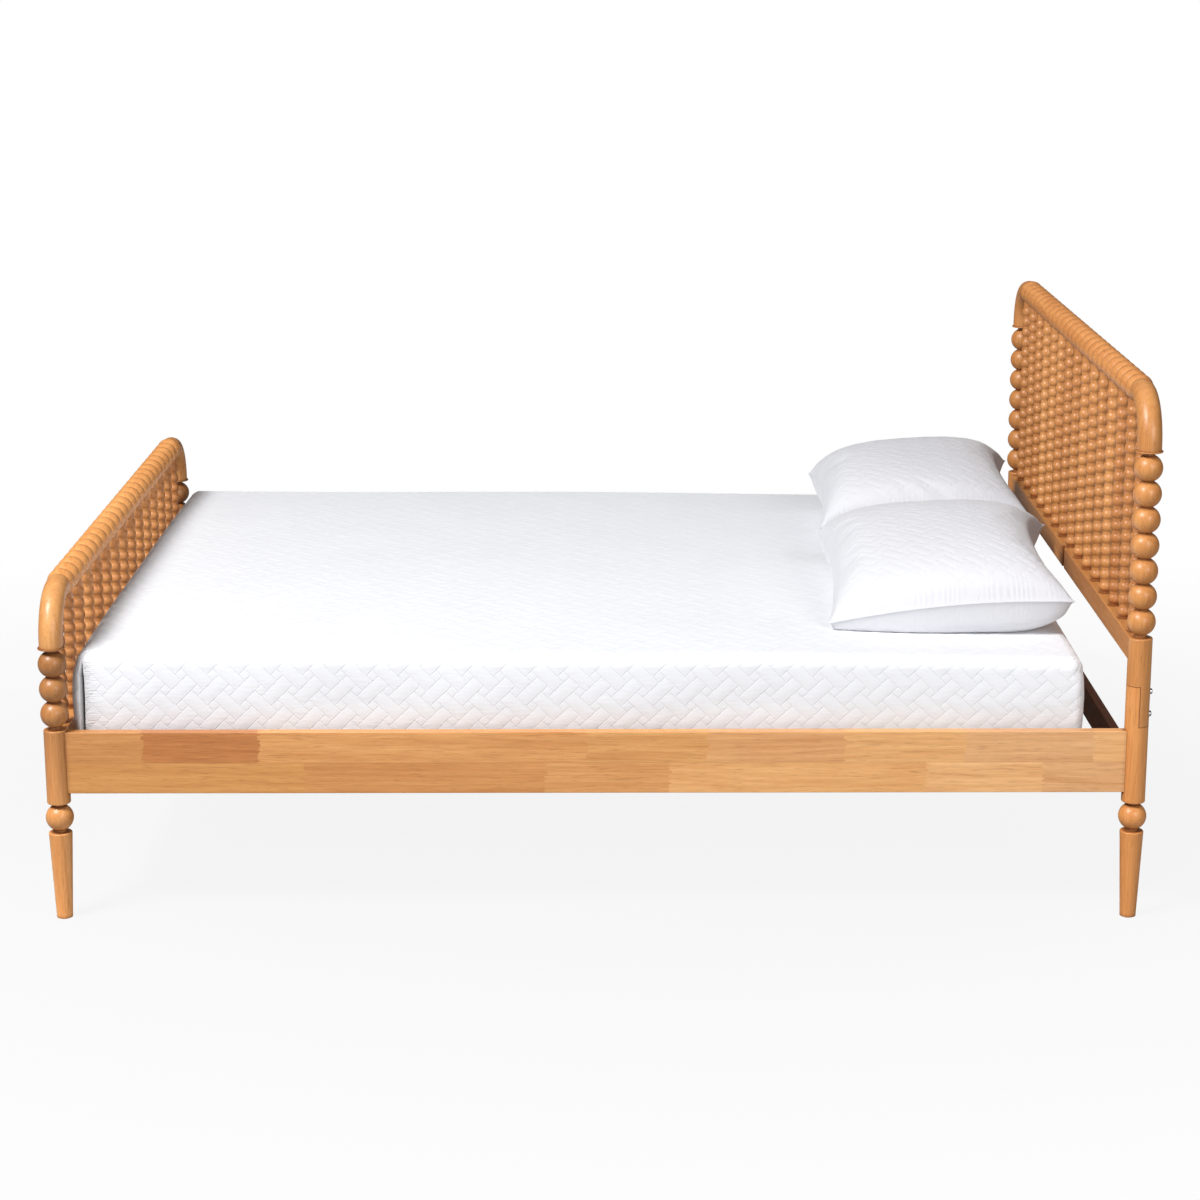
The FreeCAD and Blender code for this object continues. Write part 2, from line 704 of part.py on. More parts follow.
def lap_bolts(name):
    """Button-head bolts through the lap joints, with their heads at the back."""
    body = new_body(name, HALF_LENGTH, f"-{HALF_WIDTH}", "lap_bolt_low")
    head = f"{LAP_SEAT} + lap_washer_height"
    rod(body, "shank", "x", ("-lap_bolt_reach", "0", "0"), f"lap_bolt_reach + {head}", "lap_bolt_dia")
    rod(body, "head", "x", (head, "0", "0"), "lap_head_height", "lap_head_dia")
    outer = size(f"{head} + lap_head_height")
    soften(body, "dome", "lap_head_round", lambda edge: abs(edge.BoundBox.XMin - outer) < NEAR)
    repeat(body, "two_high", "z", "lap_bolt_step", 2)
    repeat(body, "two_sides", "y", "post_span_width", 2)


def lap_washers(name):
    """Flat washers under the bolt heads."""
    body = new_body(name, HALF_LENGTH, f"-{HALF_WIDTH}", "lap_bolt_low")
    rod(body, "disc", "x", (LAP_SEAT, "0", "0"), "lap_washer_height", "lap_washer_dia")
    rod(body, "bore", "x", ("0", "0", "0"), "block_dia", "lap_bolt_dia + 2*fit_gap", cut=True)
    repeat(body, "two_high", "z", "lap_bolt_step", 2)
    repeat(body, "two_sides", "y", "post_span_width", 2)


def lap_inserts(name):
    """Threaded inserts in the head legs that take the lap bolts."""
    body = new_body(name, HALF_LENGTH, f"-{HALF_WIDTH}", "lap_bolt_low")
    rod(body, "sleeve", "x", ("-lap_gap/2 - insert_length", "0", "0"), "insert_length", "insert_dia")
    rod(body, "thread", "x", ("-block_dia", "0", "0"), "2*block_dia", "lap_bolt_dia + 2*fit_gap", cut=True)
    repeat(body, "two_high", "z", "lap_bolt_step", 2)
    repeat(body, "two_sides", "y", "post_span_width", 2)


def cross_rail(name, end_x):
    """Dark rail between two posts that carries the end of the centre beam."""
    tenoned_rail(name, end_x, "side_rail_bottom", "cross_rail_height", "cross_rail_thickness",
                 "cross_tenon_thickness", "cross_tenon_height", "side_rail_round")


BEAM_END = f"{HALF_LENGTH} - cross_rail_thickness/2 - hanger_plate - fit_gap"


def beam_hanger(name, way):
    """Sheet-steel stirrup that holds one end of the centre beam."""
    body = new_body(name)
    back = f"{way}*({HALF_LENGTH} - cross_rail_thickness/2)"
    slot = f"{way}*({HALF_LENGTH} - cross_rail_thickness/2 - hanger_plate)"
    front = f"{way}*({HALF_LENGTH} - cross_rail_thickness/2 - hanger_reach)"
    past = f"{way}*({HALF_LENGTH} - cross_rail_thickness/2 - hanger_reach - overrun)"
    cheek = "beam_width/2 + fit_gap"
    floor = f"{BEAM_BOTTOM} - fit_gap"
    top = f"{floor} + hanger_height"
    outer = f"{cheek} + hanger_plate"
    box(body, "blank", (front, f"-({outer})", f"{floor} - hanger_plate"), (back, outer, top))
    box(body, "slot", (past, f"-({cheek})", floor), (slot, cheek, f"{top} + overrun"), cut=True)


def centre_beam(name):
    """Beam along the middle of the bed, under the slats."""
    body = new_body(name)
    box(body, "board", (f"-({BEAM_END})", "-beam_width/2", BEAM_BOTTOM),
        (BEAM_END, "beam_width/2", SLAT_SEAT))
    bore = rod(body, "leg_bolt_bore", "z", ("-centre_leg_spacing/2", "0", f"{BEAM_BOTTOM} - overrun"),
               "overrun + centre_bolt_in_beam + fit_gap", "centre_bolt_dia + 2*fit_gap", cut=True)
    repeat(body, "leg_bolt_bores", "x", "centre_leg_spacing", 2, bore)


CENTRE_LEGS = (("head", 1), ("foot", -1))


def centre_leg(name, way):
    """Square leg under the centre beam, bored for its bolt and levelling foot."""
    body = new_body(name, f"{way}*centre_leg_spacing/2")
    half = "centre_leg_width/2"
    box(body, "post", (f"-{half}", f"-{half}", CENTRE_LEG_BOTTOM), (half, half, BEAM_BOTTOM))
    soften(body, "eased_edges", "centre_leg_chamfer", edges_along(Vector(0, 0, 1)))
    rod(body, "bolt_bore", "z", ("0", "0", f"{BEAM_BOTTOM} - centre_bolt_in_leg - fit_gap"),
        "centre_bolt_in_leg + fit_gap + overrun", "centre_bolt_dia + 2*fit_gap", cut=True)
    rod(body, "leveller_bore", "z", ("0", "0", f"{CENTRE_LEG_BOTTOM} - overrun"),
        "overrun + leveller_stem_length + leveller_gap", "leveller_stem_dia + 2*leveller_gap", cut=True)


def centre_leg_bolts(name):
    """Steel studs between the centre legs and their beam."""
    body = new_body(name, "-centre_leg_spacing/2", "0", f"{BEAM_BOTTOM} - centre_bolt_in_leg")
    rod(body, "stud", "z", ("0", "0", "0"), "centre_bolt_in_leg + centre_bolt_in_beam", "centre_bolt_dia")
    repeat(body, "two_legs", "x", "centre_leg_spacing", 2)


def leveller(name, way):
    """Levelling foot that screws up into a centre leg."""
    body = new_body(name, f"{way}*centre_leg_spacing/2")
    turned(body, "turning", [
        ("leveller_dia", "0"),
        ("leveller_dia", "leveller_height"),
        ("leveller_stem_dia", "leveller_height"),
        ("leveller_stem_dia", "leveller_height + leveller_stem_length"),
    ])
    soften(body, "rim", "leveller_round", rims(("leveller_dia", "leveller_height")))


def slat_ledger(name, side):
    """Strip along a side rail that carries the slat ends."""
    inner = f"{RAIL_INNER} - ledger_width"
    body = new_body(name)
    box(body, "strip", (f"-({LEDGER_LENGTH})/2", f"{side}*({inner})", f"{SLAT_SEAT} - ledger_height"),
        (f"({LEDGER_LENGTH})/2", f"{side}*({RAIL_INNER})", SLAT_SEAT))
    first = f"-({SLAT_PITCH})*(slat_count - 1)/2"
    depth = "slat_screw_length - slat_thickness + fit_gap"
    start = (first, f"{side}*({SLAT_SCREW_Y})", f"{SLAT_SEAT} - ({depth})")
    bore = rod(body, "pilot", "z", start, f"{depth} + overrun", "slat_screw_dia + 2*fit_gap", cut=True)
    repeat(body, "pilots", "x", SLAT_PITCH, "slat_count", bore)


def slat(name, number):
    """Pine slat with a countersunk hole over each ledger."""
    body = new_body(name, f"({SLAT_PITCH})*({number} - (slat_count - 1)/2)", "0", SLAT_SEAT)
    half = f"{RAIL_INNER} - slat_end_gap"
    box(body, "board", ("-slat_width/2", f"-({half})", "0"), ("slat_width/2", half, "slat_thickness"))
    soften(body, "eased_edges", "slat_round", edges_along(Vector(0, 1, 0)))
    start = f"-({SLAT_SCREW_Y})"
    hole_dia, head_dia = "slat_screw_dia + 2*fit_gap", "slat_screw_head_dia + 2*fit_gap"
    hole = rod(body, "hole", "z", ("0", start, "-overrun"), "slat_thickness + 2*overrun", hole_dia, cut=True)
    repeat(body, "two_holes", "y", f"2*({SLAT_SCREW_Y})", 2, hole)
    sink = cone(body, "sink", ("0", start, "slat_thickness - slat_screw_head_height"),
                "slat_screw_head_height", hole_dia, head_dia, cut=True)
    repeat(body, "two_sinks", "y", f"2*({SLAT_SCREW_Y})", 2, sink)


def slat_screws(name):
    """Countersunk screws that hold the slats to the ledgers."""
    first = f"-({SLAT_PITCH})*(slat_count - 1)/2"
    body = new_body(name, first, f"-({SLAT_SCREW_Y})", f"{SLAT_TOP} - slat_screw_length")
    shank = "slat_screw_length - slat_screw_head_height"
    rod(body, "shank", "z", ("0", "0", "0"), shank, "slat_screw_dia")
    cone(body, "head", ("0", "0", shank), "slat_screw_head_height", "slat_screw_dia", "slat_screw_head_dia")
    repeat(body, "two_ends", "y", f"2*({SLAT_SCREW_Y})", 2)
    repeat(body, "every_slat", "x", SLAT_PITCH, "slat_count")


def post_glides(name):
    """Plastic glides under the four posts."""
    body = new_body(name, f"-{HALF_LENGTH}", f"-{HALF_WIDTH}")
    rod(body, "disc", "z", ("0", "0", "0"), "glide_height", "glide_dia")
    repeat(body, "two_sides", "y", "post_span_width", 2)
    repeat(body, "two_ends", "x", "post_span_length", 2)


# mattress and pillows

MATTRESS_BOTTOM = f"{SLAT_TOP} + rest_gap"
MATTRESS_TOP = f"{MATTRESS_BOTTOM} + mattress_height"
MATTRESS_LENGTH = "(post_span_length - mattress_foot_gap - mattress_head_gap)"
MATTRESS_BASE = f"2*({RAIL_INNER} - mattress_side_gap - mattress_bulge)"
PILLOW_PLACE = "(pillow_width + pillow_gap)/2"


def bow_radius(chord, bow):
    """Radius of the arc over a chord that stands off it by a bow."""
    return f"((({chord})/2)^2 + ({bow})^2)/(2*({bow}))"


def crown_drop(place):
    """How far the mattress top lies below its crown at a place across the bed."""
    radius = bow_radius(MATTRESS_BASE, "mattress_crown")
    return f"({radius} - sqrt(({radius})^2 - ({place})^2))"


def bow_arc(middle, chord, bow, way):
    """An arc over a chord, bowed towards a way given in degrees."""
    radius = size(bow_radius(chord, bow))
    reach = math.degrees(math.asin(size(chord)/2/radius))
    out = Vector(math.cos(math.radians(way)), math.sin(math.radians(way)), 0)
    circle = Part.Circle(middle + out*(size(bow) - radius), Vector(0, 0, 1), radius)
    return Part.ArcOfCircle(circle, math.radians(way - reach), math.radians(way + reach))


def mattress_section(body):
    """Cross section with a flat base, swelling sides and a crowned top."""
    sketch = body.newObject("Sketcher::SketchObject", "section")
    sketch.AttachmentSupport = (origin_item(body, "YZ_Plane"), [""])
    sketch.MapMode = "FlatFace"
    base, side = MATTRESS_BASE, "mattress_height - mattress_crown"
    half, tall = size(f"({base})/2"), size(side)
    sketch.addGeometry([
        Part.LineSegment(Vector(-half, 0, 0), Vector(half, 0, 0)),
        bow_arc(Vector(half, tall/2, 0), side, "mattress_bulge", 0),
        bow_arc(Vector(0, tall, 0), base, "mattress_crown", 90),
        bow_arc(Vector(-half, tall/2, 0), side, "mattress_bulge", 180),
    ], False)
    limit = Sketcher.Constraint
    sketch.addConstraint([limit("Coincident", k, 2, (k + 1) % 4, 1) for k in range(4)])
    sketch.addConstraint([
        limit("Symmetric", 0, 1, 0, 2, -1, 1),
        limit("Horizontal", 0),
        limit("Vertical", 1, 1, 1, 2),
        limit("Vertical", 3, 1, 3, 2),
        limit("Horizontal", 2, 1, 2, 2),
        limit("Equal", 1, 3),
    ])
    sizes_of_section = (
        (limit("DistanceX", 0, 1, 0, 2, 2*half), base),
        (limit("DistanceY", 1, 1, 1, 2, tall), side),
        (limit("Radius", 1, size(bow_radius(side, "mattress_bulge"))), bow_radius(side, "mattress_bulge")),
        (limit("Radius", 2, size(bow_radius(base, "mattress_crown"))), bow_radius(base, "mattress_crown")),
    )
    for constraint, expression in sizes_of_section:
        bind(sketch, f"Constraints[{sketch.addConstraint(constraint)}]", expression)
    return sketch


def mattress(name):
    """Mattress with soft edges, sides that swell a little and a low crown."""
    middle = f"-{HALF_LENGTH} + mattress_foot_gap + {MATTRESS_LENGTH}/2"
    body = new_body(name, middle, "0", MATTRESS_BOTTOM)
    sketch = mattress_section(body)
    block = body.newObject("PartDesign::Pad", "block")
    block.Profile = sketch
    block.SideType = "Symmetric"
    bind(block, "Length", MATTRESS_LENGTH)
    body.Tip = block
    tall = size("mattress_height/2")
    soften(body, "corners", "mattress_corner", lambda edge: edge.BoundBox.ZLength > tall)
    soften(body, "top_edge", "mattress_edge", lambda edge: edge.BoundBox.ZMin > tall)
    soften(body, "base_edge", "mattress_edge*base_round_share", lambda edge: edge.BoundBox.ZMax < NEAR)


def pillow_slice(length, height, seam_height, place):
    """Lens of two arcs across a pillow, from seam to seam."""
    front, back = Vector(-length/2, place, seam_height), Vector(length/2, place, seam_height)
    top = Vector(0, place, seam_height + height*(1 - SEAM_SHARE))
    foot = Vector(0, place, seam_height - height*SEAM_SHARE)
    return Part.Wire([Part.Arc(front, top, back).toShape(), Part.Arc(back, foot, front).toShape()])


# how high the seam runs on a pillow, and how its slices swell from end to end
SEAM_SHARE = 0.32
PLACE_SHARES = (-1, -0.9, -0.66, -0.34, 0, 0.34, 0.66, 0.9, 1)
SWELL_SHARES = (0.1, 0.42, 0.76, 0.95, 1, 0.95, 0.76, 0.42, 0.1)


def pillow(name, side):
    """Pillow with a crown on both faces and sides drawn in between its corners."""
    length, width, height = size("pillow_length"), size("pillow_width"), size("pillow_height")
    slices = []
    for place_share, swell_share in zip(PLACE_SHARES, SWELL_SHARES):
        drawn = length - 2*size("pillow_draw_in")*(1 - place_share**2)
        slices.append(pillow_slice(drawn, height*swell_share, height*SEAM_SHARE, place_share*width/2))
    item = doc.addObject("Part::Feature", name)
    item.Label = name
    item.Shape = Part.makeLoft(slices, True, False)
    seat = f"{MATTRESS_TOP} - {crown_drop(PILLOW_PLACE)} + rest_gap"
    put(item, f"{HALF_LENGTH} - pillow_from_head", f"{side}*{PILLOW_PLACE}", seat)


# the whole bed

for end_name, end_x, level, top in (("headboard", HALF_LENGTH, HEAD_RAIL_Z, HEAD_PANEL_TOP),
                                    ("footboard", f"-{HALF_LENGTH}", FOOT_RAIL_Z, FOOT_PANEL_TOP)):
    top_rail(f"{end_name}_top_rail", end_x, level)
    spindles(f"{end_name}_spindles", end_x, top, level)
    rail = panel_rail(f"{end_name}_bottom_rail", end_x, top)
    if end_name == "headboard":
        housing(rail, top)
    for side_name, side in SIDES:
        elbow(f"{end_name}_elbow_{side_name}", end_x, side, f"{level} - elbow_radius - elbow_riser")

for side_name, side in SIDES:
    headboard_post(f"headboard_post_{side_name}", side)
    head_leg(f"head_leg_{side_name}", side)
    foot_post(f"foot_post_{side_name}", side)
    side_rail(f"side_rail_{side_name}", side)
    slat_ledger(f"slat_ledger_{side_name}", side)
    pillow(f"pillow_{side_name}", side)

for end_name, way in CENTRE_LEGS:
    cross_rail(f"{end_name}_cross_rail", f"{way}*{HALF_LENGTH}")
    beam_hanger(f"beam_hanger_{end_name}", way)
    centre_leg(f"centre_leg_{end_name}", way)
    leveller(f"leveller_{end_name}", way)

for number in range(int(size("slat_count"))):
    slat(f"slat_{number + 1:02d}", number)

centre_beam("centre_beam")
centre_leg_bolts("centre_leg_bolts")
rail_studs("rail_studs")
cross_nuts("cross_nuts")
lap_bolts("lap_bolts")
lap_washers("lap_washers")
lap_inserts("lap_inserts")
slat_screws("slat_screws")
post_glides("post_glides")
mattress("mattress")

doc.recompute()

# every feature must have worked before anything is written
sub_parts = [item for item in doc.Objects if item.TypeId in ("PartDesign::Body", "Part::Feature")]
for item in doc.Objects:
    faults = {"Invalid", "Error"} & set(item.State)
    if faults:
        raise RuntimeError(f"{item.Name} is {', '.join(sorted(faults))}")
for item in sub_parts:
    if item.Shape.isNull() or not item.Shape.isValid():
        raise RuntimeError(f"{item.Label} has no valid shape")

os.makedirs("parts", exist_ok=True)
for item in sub_parts:
    item.Shape.exportStep(f"parts/{item.Label}.step")
    print(f"{item.Label}: {len(item.Shape.Solids)} solids, {item.Shape.Volume/1000:.1f} cm3")
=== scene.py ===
"""Looks of a queen-size platform bed with ball-turned posts, top rails and spindles.

Metres, in the frame of the solids: X runs from foot to head, Y across the bed and Z up.
"""
import math

import bpy
import numpy as np
from mathutils import Matrix, Vector


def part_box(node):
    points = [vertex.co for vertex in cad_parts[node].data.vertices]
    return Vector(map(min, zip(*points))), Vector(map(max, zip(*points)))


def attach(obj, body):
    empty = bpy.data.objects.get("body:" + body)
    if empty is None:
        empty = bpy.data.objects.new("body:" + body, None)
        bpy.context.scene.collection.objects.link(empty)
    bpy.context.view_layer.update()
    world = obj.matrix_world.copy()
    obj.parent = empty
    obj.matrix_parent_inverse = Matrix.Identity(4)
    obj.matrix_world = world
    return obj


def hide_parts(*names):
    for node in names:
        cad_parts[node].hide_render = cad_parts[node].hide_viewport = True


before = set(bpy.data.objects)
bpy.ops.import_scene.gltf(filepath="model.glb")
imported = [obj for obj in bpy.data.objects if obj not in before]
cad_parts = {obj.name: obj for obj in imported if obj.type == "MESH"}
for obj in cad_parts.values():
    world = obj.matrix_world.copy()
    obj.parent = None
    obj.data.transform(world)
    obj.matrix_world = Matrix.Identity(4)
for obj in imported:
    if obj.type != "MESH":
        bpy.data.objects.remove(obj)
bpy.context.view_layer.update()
scene = bpy.context.scene


# small helpers for node trees

def add(tree, kind, settings=None, **inputs):
    """Add a node, set its properties and fill or link its inputs."""
    node = tree.nodes.new(f"ShaderNode{kind}")
    for name, value in (settings or {}).items():
        setattr(node, name, value)
    for name, value in inputs.items():
        fill(tree, node.inputs[name.replace("_", " ")], value)
    return node


def fill(tree, socket, value):
    """Link a socket to another one, or give it a value."""
    if isinstance(value, bpy.types.NodeSocket):
        tree.links.new(value, socket)
    else:
        socket.default_value = value


def maths(tree, operation, *values):
    """One step of arithmetic on numbers or sockets."""
    node = add(tree, "Math", {"operation": operation})
    for socket, value in zip(node.inputs, values):
        fill(tree, socket, value)
    return node.outputs[0]


def plus(tree, first, second):
    """Sum of two numbers or sockets."""
    return maths(tree, "ADD", first, second)


def minus(tree, first, second):
    """Difference of two numbers or sockets."""
    return maths(tree, "SUBTRACT", first, second)


def times(tree, first, second):
    """Product of two numbers or sockets."""
    return maths(tree, "MULTIPLY", first, second)


def vector_maths(tree, operation, first, second):
    """One step of arithmetic on vectors."""
    node = add(tree, "VectorMath", {"operation": operation})
    fill(tree, node.inputs[0], first)
    fill(tree, node.inputs[1], second)
    return node.outputs[0]


def scaled(tree, vector, factors):
    """Stretch a vector by a factor along each axis."""
    return vector_maths(tree, "MULTIPLY", vector, factors)


def moved(tree, vector, offset):
    """Shift a vector by another one."""
    return vector_maths(tree, "ADD", vector, offset)


def coordinate(tree, place, axis):
    """One coordinate of a place."""
    return add(tree, "SeparateXYZ", Vector=place).outputs[axis]


def noise(tree, vector, scale, detail=3.0, roughness=0.5):
    """Value of a noise texture."""
    node = add(tree, "TexNoise", Vector=vector, Scale=scale, Detail=detail, Roughness=roughness)
    return node.outputs["Fac"]


def spread(tree, value, low, high, to_low=0.0, to_high=1.0):
    """Map a range of values to another one, clamped."""
    node = add(tree, "MapRange")
    for socket, number in zip(node.inputs, (value, low, high, to_low, to_high)):
        fill(tree, socket, number)
    return node.outputs[0]


def mixed(tree, factor, first, second, mode="MIX"):
    """Blend two colours."""
    node = add(tree, "Mix", {"data_type": "RGBA", "blend_type": mode}, Factor=factor)
    colours = [socket for socket in node.inputs if socket.type == "RGBA"]
    fill(tree, colours[0], first)
    fill(tree, colours[1], second)
    return next(socket for socket in node.outputs if socket.type == "RGBA")


def ramp(tree, value, stops, interpolation="LINEAR"):
    """Colour ramp through (place, colour) stops."""
    node = add(tree, "ValToRGB", Fac=value)
    node.color_ramp.interpolation = interpolation
    elements = node.color_ramp.elements
    while len(elements) < len(stops):
        elements.new(1.0)
    for element, (place, colour) in zip(elements, stops):
        element.position = place
        element.color = colour
    return node.outputs["Color"]


def bump(tree, height, distance, strength):
    """Normal from a height in metres."""
    node = add(tree, "Bump", Height=height, Distance=distance, Strength=strength)
    return node.outputs["Normal"]


def openness(tree, reach, inside=False):
    """How open the surface is within a reach, or with inside how thick the piece is there."""
    node = add(tree, "AmbientOcclusion", {"samples": 6, "inside": inside}, Distance=reach)
    return node.outputs["AO"]


def new_material(name):
    """Empty material with a principled shader."""
    material = bpy.data.materials.new(name)
    material.use_nodes = True
    tree = material.node_tree
    tree.nodes.clear()
    shader = add(tree, "BsdfPrincipled")
    output = add(tree, "OutputMaterial")
    tree.links.new(shader.outputs["BSDF"], output.inputs["Surface"])
    return material, tree, shader


def dress(tree, shader, **inputs):
    """Fill or link the inputs of a shader."""
    for name, value in inputs.items():
        fill(tree, shader.inputs[name.replace("_", " ")], value)


def grey(value):
    """Opaque grey as a colour."""
    return (value, value, value, 1.0)


# wood

# each wood's light grain, dark grain, and the deep colour that marks its grain ticks and stained edges and
# paints shade, with some stain, into its hollows
HONEY = ((0.83, 0.415, 0.150, 1.0), (0.60, 0.245, 0.072, 1.0), (0.20, 0.058, 0.014, 1.0))
DARK = ((0.235, 0.094, 0.050, 1.0), (0.130, 0.050, 0.026, 1.0), (0.03, 0.012, 0.007, 1.0))
PINE = ((0.80, 0.60, 0.36, 1.0), (0.60, 0.36, 0.16, 1.0), (0.35, 0.19, 0.08, 1.0))

# layers of the grain: scale along and across it, detail and roughness
WANDER = (1.5, 6.0, 2.0, 0.5)
STREAKS = (1.8, 44.0, 5.0, 0.6)
BANDS = (4.0, 150.0, 4.0, 0.62)
FIBRES = (12.0, 420.0, 3.0, 0.6)
TICKS = (26.0, 620.0, 2.0, 0.5)
PORES = (55.0, 1100.0, 1.0, 0.5)

AXES = "XYZ"
SEED_SHIFT = (3.1, 1.7, 2.3)
WANDER_REACH = 0.05
FIGURE_LOW, FIGURE_HIGH = 0.32, 0.68
FIBRE_LOW, FIBRE_HIGH = 0.3, 0.7
FIBRE_PALE, FIBRE_DEEP = 1.04, 0.90
FIBRE_SMOOTHER, FIBRE_ROUGHER = 0.05, 0.08
FIBRE_RELIEF = 0.4
TICK_RANGE = (0.58, 0.70)
TICK_STAIN = 0.34
PORE_RANGE = (0.62, 0.70)
PORE_STAIN = 0.35
# how far painted shade, with some stain, darkens the hollows
HOLLOW_CLEAR, HOLLOW_STAIN_AND_SHADE = 0.96, 0.94
EDGE_FULL, EDGE_CLEAR, EDGE_STAIN = 0.45, 0.95, 0.75
COAT_SHARE, COAT_ROUGHNESS = 0.3, 0.26
GRAIN_DEPTH, GRAIN_STRENGTH = 0.00012, 0.6


def grain(tree, place, axis, layer):
    """One layer of the grain: noise stretched along an axis."""
    along, across, detail, roughness = layer
    factors = [along if each == axis else across for each in AXES]
    return noise(tree, scaled(tree, place, factors), 1.0, detail, roughness)


def wood(name, axis, palette, seed, roughness=0.38, gloss=0.4, tone=None, hollow_reach=0.010,
         hollow_full=0.42, edge_reach=None):
    """Lacquered wood with streaks, fibres, grain ticks and pores along one axis.

    A tone function gets the tree and the place.
    It returns a colour to multiply with and a shift of the grain.
    Painted shade, with some stain, darkens the hollows, and stain gathers along sharp edges where an edge
    reach is given.
    """
    material, tree, shader = new_material(name)
    light, dark, crevice = palette
    object_place = add(tree, "TexCoord").outputs["Object"]
    place = moved(tree, object_place, [seed*step for step in SEED_SHIFT])
    tint = grey(1.0)
    if tone:
        tint, shift = tone(tree, object_place)
        place = moved(tree, place, shift)
    wander = grain(tree, place, axis, WANDER)
    wandered = moved(tree, place, scaled(tree, wander, [WANDER_REACH]*3))
    streaks = grain(tree, wandered, axis, STREAKS)
    bands = grain(tree, wandered, axis, BANDS)
    fibres = grain(tree, place, axis, FIBRES)
    ticks = spread(tree, grain(tree, place, axis, TICKS), *TICK_RANGE)
    pores = spread(tree, grain(tree, place, axis, PORES), *PORE_RANGE)
    figure = times(tree, plus(tree, streaks, bands), 0.5)
    colour = ramp(tree, figure, ((FIGURE_LOW, light), (FIGURE_HIGH, dark)))
    fibre_tint = ramp(tree, fibres, ((FIBRE_LOW, grey(FIBRE_PALE)), (FIBRE_HIGH, grey(FIBRE_DEEP))))
    colour = mixed(tree, 1.0, colour, fibre_tint, "MULTIPLY")
    colour = mixed(tree, times(tree, pores, PORE_STAIN), colour, dark)
    colour = mixed(tree, times(tree, ticks, TICK_STAIN), colour, crevice)
    colour = mixed(tree, 1.0, colour, tint, "MULTIPLY")
    # painted shade with some stain: the wood turns darker where its surface is hemmed in
    hollow = spread(tree, openness(tree, hollow_reach), hollow_full, HOLLOW_CLEAR, HOLLOW_STAIN_AND_SHADE, 0.0)
    colour = mixed(tree, hollow, colour, crevice)
    if edge_reach:
        edge = spread(tree, openness(tree, edge_reach, True), EDGE_FULL, EDGE_CLEAR, EDGE_STAIN, 0.0)
        colour = mixed(tree, edge, colour, crevice)
    smoothest, roughest = roughness - FIBRE_SMOOTHER, roughness + FIBRE_ROUGHER
    relief = minus(tree, times(tree, fibres, FIBRE_RELIEF), pores)
    dress(tree, shader, Base_Color=colour, Specular_IOR_Level=gloss,
          Roughness=spread(tree, fibres, FIBRE_LOW, FIBRE_HIGH, smoothest, roughest),
          Coat_Weight=COAT_SHARE*gloss, Coat_Roughness=COAT_ROUGHNESS,
          Normal=bump(tree, relief, GRAIN_DEPTH, GRAIN_STRENGTH))
    return material


def steady(colour):
    """Tone of a piece made from one board."""
    return lambda tree, place: (colour, (0.0, 0.0, 0.0))


def graded(axis, low, high, colours):
    """Tone that changes from one end of a piece to the other."""
    def tone(tree, place):
        share = spread(tree, coordinate(tree, place, axis), low, high)
        return mixed(tree, share, *colours), (0.0, 0.0, 0.0)

    return tone


SPINDLE_PALE = (0.89, 0.8335, 0.7825, 1.0)
SPINDLE_DEEP = (0.71, 0.6085, 0.535, 1.0)
DRAW_SEED = 0.37


def by_step(axis, first, pitch):
    """Tone that differs from spindle to spindle in a row."""
    def tone(tree, place):
        steps = maths(tree, "DIVIDE", minus(tree, coordinate(tree, place, axis), first), pitch)
        number = plus(tree, maths(tree, "ROUND", steps), DRAW_SEED)
        draw = add(tree, "TexWhiteNoise", {"noise_dimensions": "1D"}, W=number)
        return mixed(tree, draw.outputs["Value"], SPINDLE_PALE, SPINDLE_DEEP), draw.outputs["Color"]

    return tone


# the two glued strips of a side rail: where each board ends, and its tone; the tones differ from board to
# board, and also grow lighter and yellower towards the end at RAIL_REACH as painted light
RAIL_REACH = 1.0335
UPPER_BOARDS = (
    (-0.887, (0.81, 0.78, 0.74)),
    (-0.660, (0.71, 0.59, 0.54)),
    (-0.020, (0.97, 0.99, 1.03)),
    (0.215, (0.97, 1.04, 1.08)),
    (0.480, (0.99, 1.07, 1.29)),
    (0.715, (1.10, 1.26, 1.50)),
    (0.965, (1.01, 1.15, 1.51)),
    (RAIL_REACH, (1.13, 1.32, 1.66)),
)
LOWER_BOARDS = (
    (-0.570, (0.87, 0.87, 0.80)),
    (-0.100, (0.85, 0.80, 0.77)),
    (0.140, (0.96, 0.99, 1.03)),
    (0.640, (1.08, 1.20, 1.36)),
    (0.865, (1.15, 1.36, 1.74)),
    (RAIL_REACH, (1.01, 1.14, 1.48)),
)
BOARD_SHIFT = (9.0, 7.0, 5.0)
FINGER_SCALE = (0.0, 900.0, 160.0)
FINGER_RANGE = (0.45, 0.55)
FINGER_HALF = 0.003
GLUE_RANGE = (0.0002, 0.0009)
GLUE_SHADE = 0.82


def board_ramp(tree, share, boards, turn_round):
    """Tones of a strip's boards, in steps along the rail."""
    ends = [-RAIL_REACH] + [end for end, _ in boards]
    stops = []
    for start, (_, tone) in zip(ends, boards):
        stops.append(((start + RAIL_REACH)/(2*RAIL_REACH), (*tone, 1.0)))
    if turn_round:
        share = minus(tree, 1.0, share)
    return ramp(tree, share, stops, "CONSTANT")


